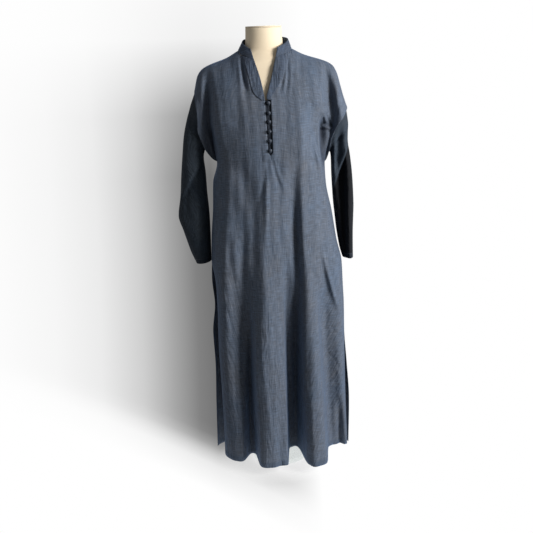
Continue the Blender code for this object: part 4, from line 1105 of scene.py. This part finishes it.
# %% Dress form
jersey = speckled("cream_cotton_jersey", ((0.3, "#e4d3b6"), (0.7, "#ecdcc0")), (9.0, 2.0), (700.0, 2.0),
                  0.25, Roughness=0.75, Sheen_Weight=0.15)
Girth = namedtuple("Girth", "z half_width front back")
FORM_GIRTHS = in_mm(Girth, (
    (560, 158, 98, 88), (620, 165, 102, 96), (700, 156, 98, 90), (780, 134, 92, 78), (850, 120, 92, 70),
    (920, 130, 104, 80), (990, 143, 126, 92), (1050, 146, 120, 98), (1110, 150, 104, 98),
    (1160, 160, 87, 90), (1195, 168, 74, 80), (1250, 172, 60, 64),
))
FORM_CLEARANCE = 0.0030
FORM_ROUNDNESS = 2.4
FORM_SIDES = 96
CHEST_Z, RIDGE_Z = 1.15, 1.230  # between them the form rounds over its shoulders, with closer rings
Neck = namedtuple("Neck", "z half_width half_depth middle_y")
NECK_RINGS = in_mm(Neck, (
    (1245, 64, 48, -3), (1256, 57.5, 47, -2), (1276, 53.2, 46.5, -1), (1310.2, 51.6, 46, 0),
))
NECK_X = -0.0018        # middle of the neck
CAP_DEPTH = 0.004
NECK_SLOPE = 0.11       # the neck's top falls by this towards the front


def form_reach(side, z, widest):
    """Half width of the form at z on one side: its own, or where the shoulder slopes off."""
    sign = -1.0 if side == "left" else 1.0
    x = np.linspace(widest, 0.02, 400)
    fits = x[shoulder_z(sign * x) - FORM_CLEARANCE >= z]
    return sign * float(fits[0])


def form_ring(z):
    widest = float(read(FORM_GIRTHS, z, "half_width"))
    left, right = form_reach("left", z, widest), form_reach("right", z, widest)
    middle, half = (left + right) / 2, (right - left) / 2
    angles = 2 * math.pi * np.arange(FORM_SIDES) / FORM_SIDES
    power = 2 / FORM_ROUNDNESS
    x = middle + half * np.copysign(np.abs(np.cos(angles)) ** power, np.cos(angles))
    crown = np.abs(np.sin(angles)) ** power
    y = np.empty(FORM_SIDES)
    for face, here in (("front", np.sin(angles) < 0), ("back", np.sin(angles) >= 0)):
        own = float(read(FORM_GIRTHS, z, face)) * crown[here]
        cloth = np.abs(cloth_y(face, x[here], z + FORM_CLEARANCE)) - FORM_CLEARANCE
        y[here] = OUT[face] * np.minimum(own, np.maximum(cloth, 0.0))
    return np.column_stack([x, y, np.full(FORM_SIDES, z)])


heights = np.concatenate([np.linspace(FORM_GIRTHS[0].z, CHEST_Z, 60),
                          np.linspace(CHEST_Z, RIDGE_Z, 28)[1:]])
rings = [form_ring(z) for z in heights]
angles = 2 * math.pi * np.arange(FORM_SIDES) / FORM_SIDES
cap_top = NECK_RINGS[-1]
neck_rings = [rings[-1]]
for ring in NECK_RINGS:
    y = ring.half_depth * np.sin(angles)
    slope = NECK_SLOPE if ring is cap_top else 0.0
    x = NECK_X + ring.half_width * np.cos(angles)
    neck_rings.append(np.column_stack([x, ring.middle_y + y, ring.z + slope * y]))
rings += list(smooth_line(np.reshape(neck_rings, (len(neck_rings), -1)), 8).reshape(-1, FORM_SIDES, 3)[1:])
ring_grid = np.array(rings)
bm = bmesh.new()
lay_grid(bm, np.concatenate([ring_grid, ring_grid[:, :1]], axis=1))
join_sheets(bm)
bmesh.ops.holes_fill(bm, edges=[e for e in bm.edges if e.is_boundary], sides=FORM_SIDES)
bmesh.ops.recalc_face_normals(bm, faces=bm.faces[:])
fit(mesh_object("dress_form_body", bm, jersey), "form_torso")

bm = bmesh.new()
bmesh.ops.create_cone(bm, cap_ends=True, segments=FORM_SIDES, radius1=1.0, radius2=1.0, depth=CAP_DEPTH)
bmesh.ops.scale(bm, verts=bm.verts[:], vec=(cap_top.half_width, cap_top.half_depth, 1.0))
cap_z = cap_top.z + CAP_DEPTH / 2
bmesh.ops.translate(bm, verts=bm.verts[:], vec=(NECK_X, cap_top.middle_y, cap_z + POINT_GAP))
rim = [edge for edge in bm.edges if all(vert.co.z > cap_z for vert in edge.verts)]
bmesh.ops.bevel(bm, geom=rim, offset=0.0006, segments=3, profile=0.5, affect="EDGES", material=-1)
for vert in bm.verts:
    vert.co.z += NECK_SLOPE * (vert.co.y - cap_top.middle_y)
for polygon in bm.faces:
    polygon.smooth = len(polygon.verts) == 4
fit(mesh_object("dress_form_neck_cap", bm, jersey), "form_neck_cap")
print("form rings:", len(rings))

# %% [markdown]
# The form stands on a white powder coated steel tube with a round foot of clear glass. They keep their
# solids, and only get the finish: powder coat is matt plastic paint with a very fine orange peel. The
# glass lets most light straight through and only shines more where it is seen at a slant.


# %% Stand
def clear_glass():
    made, tree, shader = new_material("clear_toughened_glass")
    through = add(tree, "ShaderNodeBsdfTransparent", {"Color": (0.93, 0.97, 0.96, 1)}).outputs["BSDF"]
    shine = add(tree, "ShaderNodeBsdfGlossy", {"Roughness": 0.03}).outputs["BSDF"]
    slant = add(tree, "ShaderNodeFresnel", {"IOR": 1.45}).outputs["Fac"]
    mixed = add(tree, "ShaderNodeMixShader", {"Fac": slant, 1: through, 2: shine}).outputs[0]
    tree.links.new(mixed, tree.nodes["Material Output"].inputs["Surface"])
    return made


powder_coat = speckled("white_powder_coat", ((0.35, "#e9e8e5"), (0.65, "#f4f3f1")), (12.0, 3.0),
                       (500.0, 1.0), 0.15, Roughness=0.42)
for name, finish in (("form_pole", powder_coat), ("form_base", clear_glass())):
    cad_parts[name].data.materials.clear()
    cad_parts[name].data.materials.append(finish)

# %% [markdown]

# %% [markdown]
# ## Light, floor and camera
# A broad soft light stands in front and to the right, as a window would, and a weak one behind lights
# the back. The room is brightest far to the right and dim in the middle, so the folds keep their dark
# sides. The camera sees a white wall instead, with a soft grey shadow painted on it to the left of the
# tunic. The floor is a white disc that fades out.

# %% Floor, room and light
floor_paint, tree, shader = new_material("white_floor", Base_Color=linear("#a8a8a8"), Roughness=0.9)
place = add(tree, "ShaderNodeTexCoord").outputs["Object"]
away = add(tree, "ShaderNodeVectorMath", {0: place}, operation="LENGTH").outputs["Value"]
direct = add(tree, "ShaderNodeLightPath").outputs["Is Camera Ray"]
wide = ramp(tree, away, (0.12, 0.0), (0.34, 1.0))
near = ramp(tree, away, (0.06, 0.0), (0.20, 1.0))
clear = add(tree, "ShaderNodeBsdfTransparent").outputs["BSDF"]
glow = add(tree, "ShaderNodeEmission", {"Color": (1, 1, 1, 1), "Strength": 0.78}).outputs["Emission"]
lit = add(tree, "ShaderNodeAddShader", {0: shader.outputs["BSDF"], 1: glow}).outputs[0]
# what the eye sees of the floor ends nearer the foot than the light that it throws back
fade = mix(tree, direct, wide, near)
mixed = add(tree, "ShaderNodeMixShader", {"Fac": fade, 1: lit, 2: clear}).outputs[0]
tree.links.new(mixed, tree.nodes["Material Output"].inputs["Surface"])
bm = bmesh.new()
bmesh.ops.create_circle(bm, cap_ends=True, segments=96, radius=1.2)
mesh_object("floor", bm, floor_paint)

world = bpy.data.worlds.new("studio")
bpy.context.scene.world = world
world.use_nodes = True
tree = world.node_tree
direction = add(tree, "ShaderNodeTexCoord").outputs["Generated"]
parts = add(tree, "ShaderNodeSeparateXYZ", {"Vector": direction}).outputs
room = ramp(tree, stretch(tree, parts["X"], -1.0, 1.0), (0.0, 0.50), (0.12, 0.30), (0.25, 0.09),
            (0.5, 0.13), (1.0, 0.62))
# what the camera sees behind the tunic: white, with the soft grey shadow that falls to its left
side_shade = ramp(tree, stretch(tree, parts["X"], -0.40, 0.10), (0.0, 0.0), (0.12, 0.03), (0.25, 0.08),
                  (0.36, 0.17), (0.465, 0.38), (0.545, 0.62), (0.61, 0.78), (0.66, 0.83), (0.78, 0.60),
                  (0.92, 0.0))
height = stretch(tree, parts["Z"], -0.55, 0.25)
high_shade = ramp(tree, height, (0.60, 1.0), (0.70, 0.85), (0.82, 0.15), (1.0, 0.0))
# its lower edge slopes up to the left
slope = maths(tree, "MULTIPLY_ADD", parts["X"], 0.6, height)
low_shade = ramp(tree, slope, (0.056, 0.0), (0.093, 0.20), (0.108, 0.48), (0.122, 0.82), (0.137, 0.97),
                 (0.151, 1.0))
shade = maths(tree, "GREATER_THAN", parts["Y"], 0.5)
for share in (side_shade, high_shade, low_shade):
    shade = maths(tree, "MULTIPLY", shade, share)
backdrop = mix(tree, shade, (1.0, 1.0, 1.0, 1), (0.0, 0.0, 0.0, 1))
seen = add(tree, "ShaderNodeLightPath").outputs["Is Camera Ray"]
tree.links.new(mix(tree, seen, room, backdrop), tree.nodes["Background"].inputs["Color"])
tree.nodes["Background"].inputs["Strength"].default_value = 1.0


def soft_light(name, place, target, size, power, colour):
    light = bpy.data.lights.new(name, "AREA")
    light.shape = "DISK"
    light.size = size
    light.energy = power
    light.color = colour
    made = new_object(name, light)
    made.location = place
    made.rotation_euler = (Vector(target) - Vector(place)).to_track_quat("-Z", "Y").to_euler()


soft_light("window", (2.2, -1.5, 1.6), (0.0, 0.0, 0.75), 1.1, 108.0, (1.0, 0.98, 0.96))
soft_light("back_fill", (-0.6, 2.4, 1.6), (0.0, 0.0, 0.7), 1.5, 12.0, (1.0, 1.0, 1.0))

# %% Camera
LENS, SENSOR = 50.0, 36.0
CAMERA_PLACE = (-0.020, -2.210, 1.051)
TILT_DOWN, ROLL = math.radians(11.2), math.radians(2.3)
view_line = Vector((0.0, math.cos(TILT_DOWN), -math.sin(TILT_DOWN)))
up = Vector((0.0, math.sin(TILT_DOWN), math.cos(TILT_DOWN)))
right = Vector((1.0, 0.0, 0.0))
camera_x = math.cos(ROLL) * right - math.sin(ROLL) * up
camera_y = math.sin(ROLL) * right + math.cos(ROLL) * up
camera_data = bpy.data.cameras.new("camera")
camera_data.lens = LENS
camera_data.sensor_width = SENSOR
camera = new_object("camera", camera_data)
turn = Matrix((camera_x, camera_y, -view_line)).transposed().to_4x4()
camera.matrix_world = Matrix.Translation(CAMERA_PLACE) @ turn
bpy.context.scene.camera = camera
bpy.context.scene.view_settings.view_transform = "Standard"
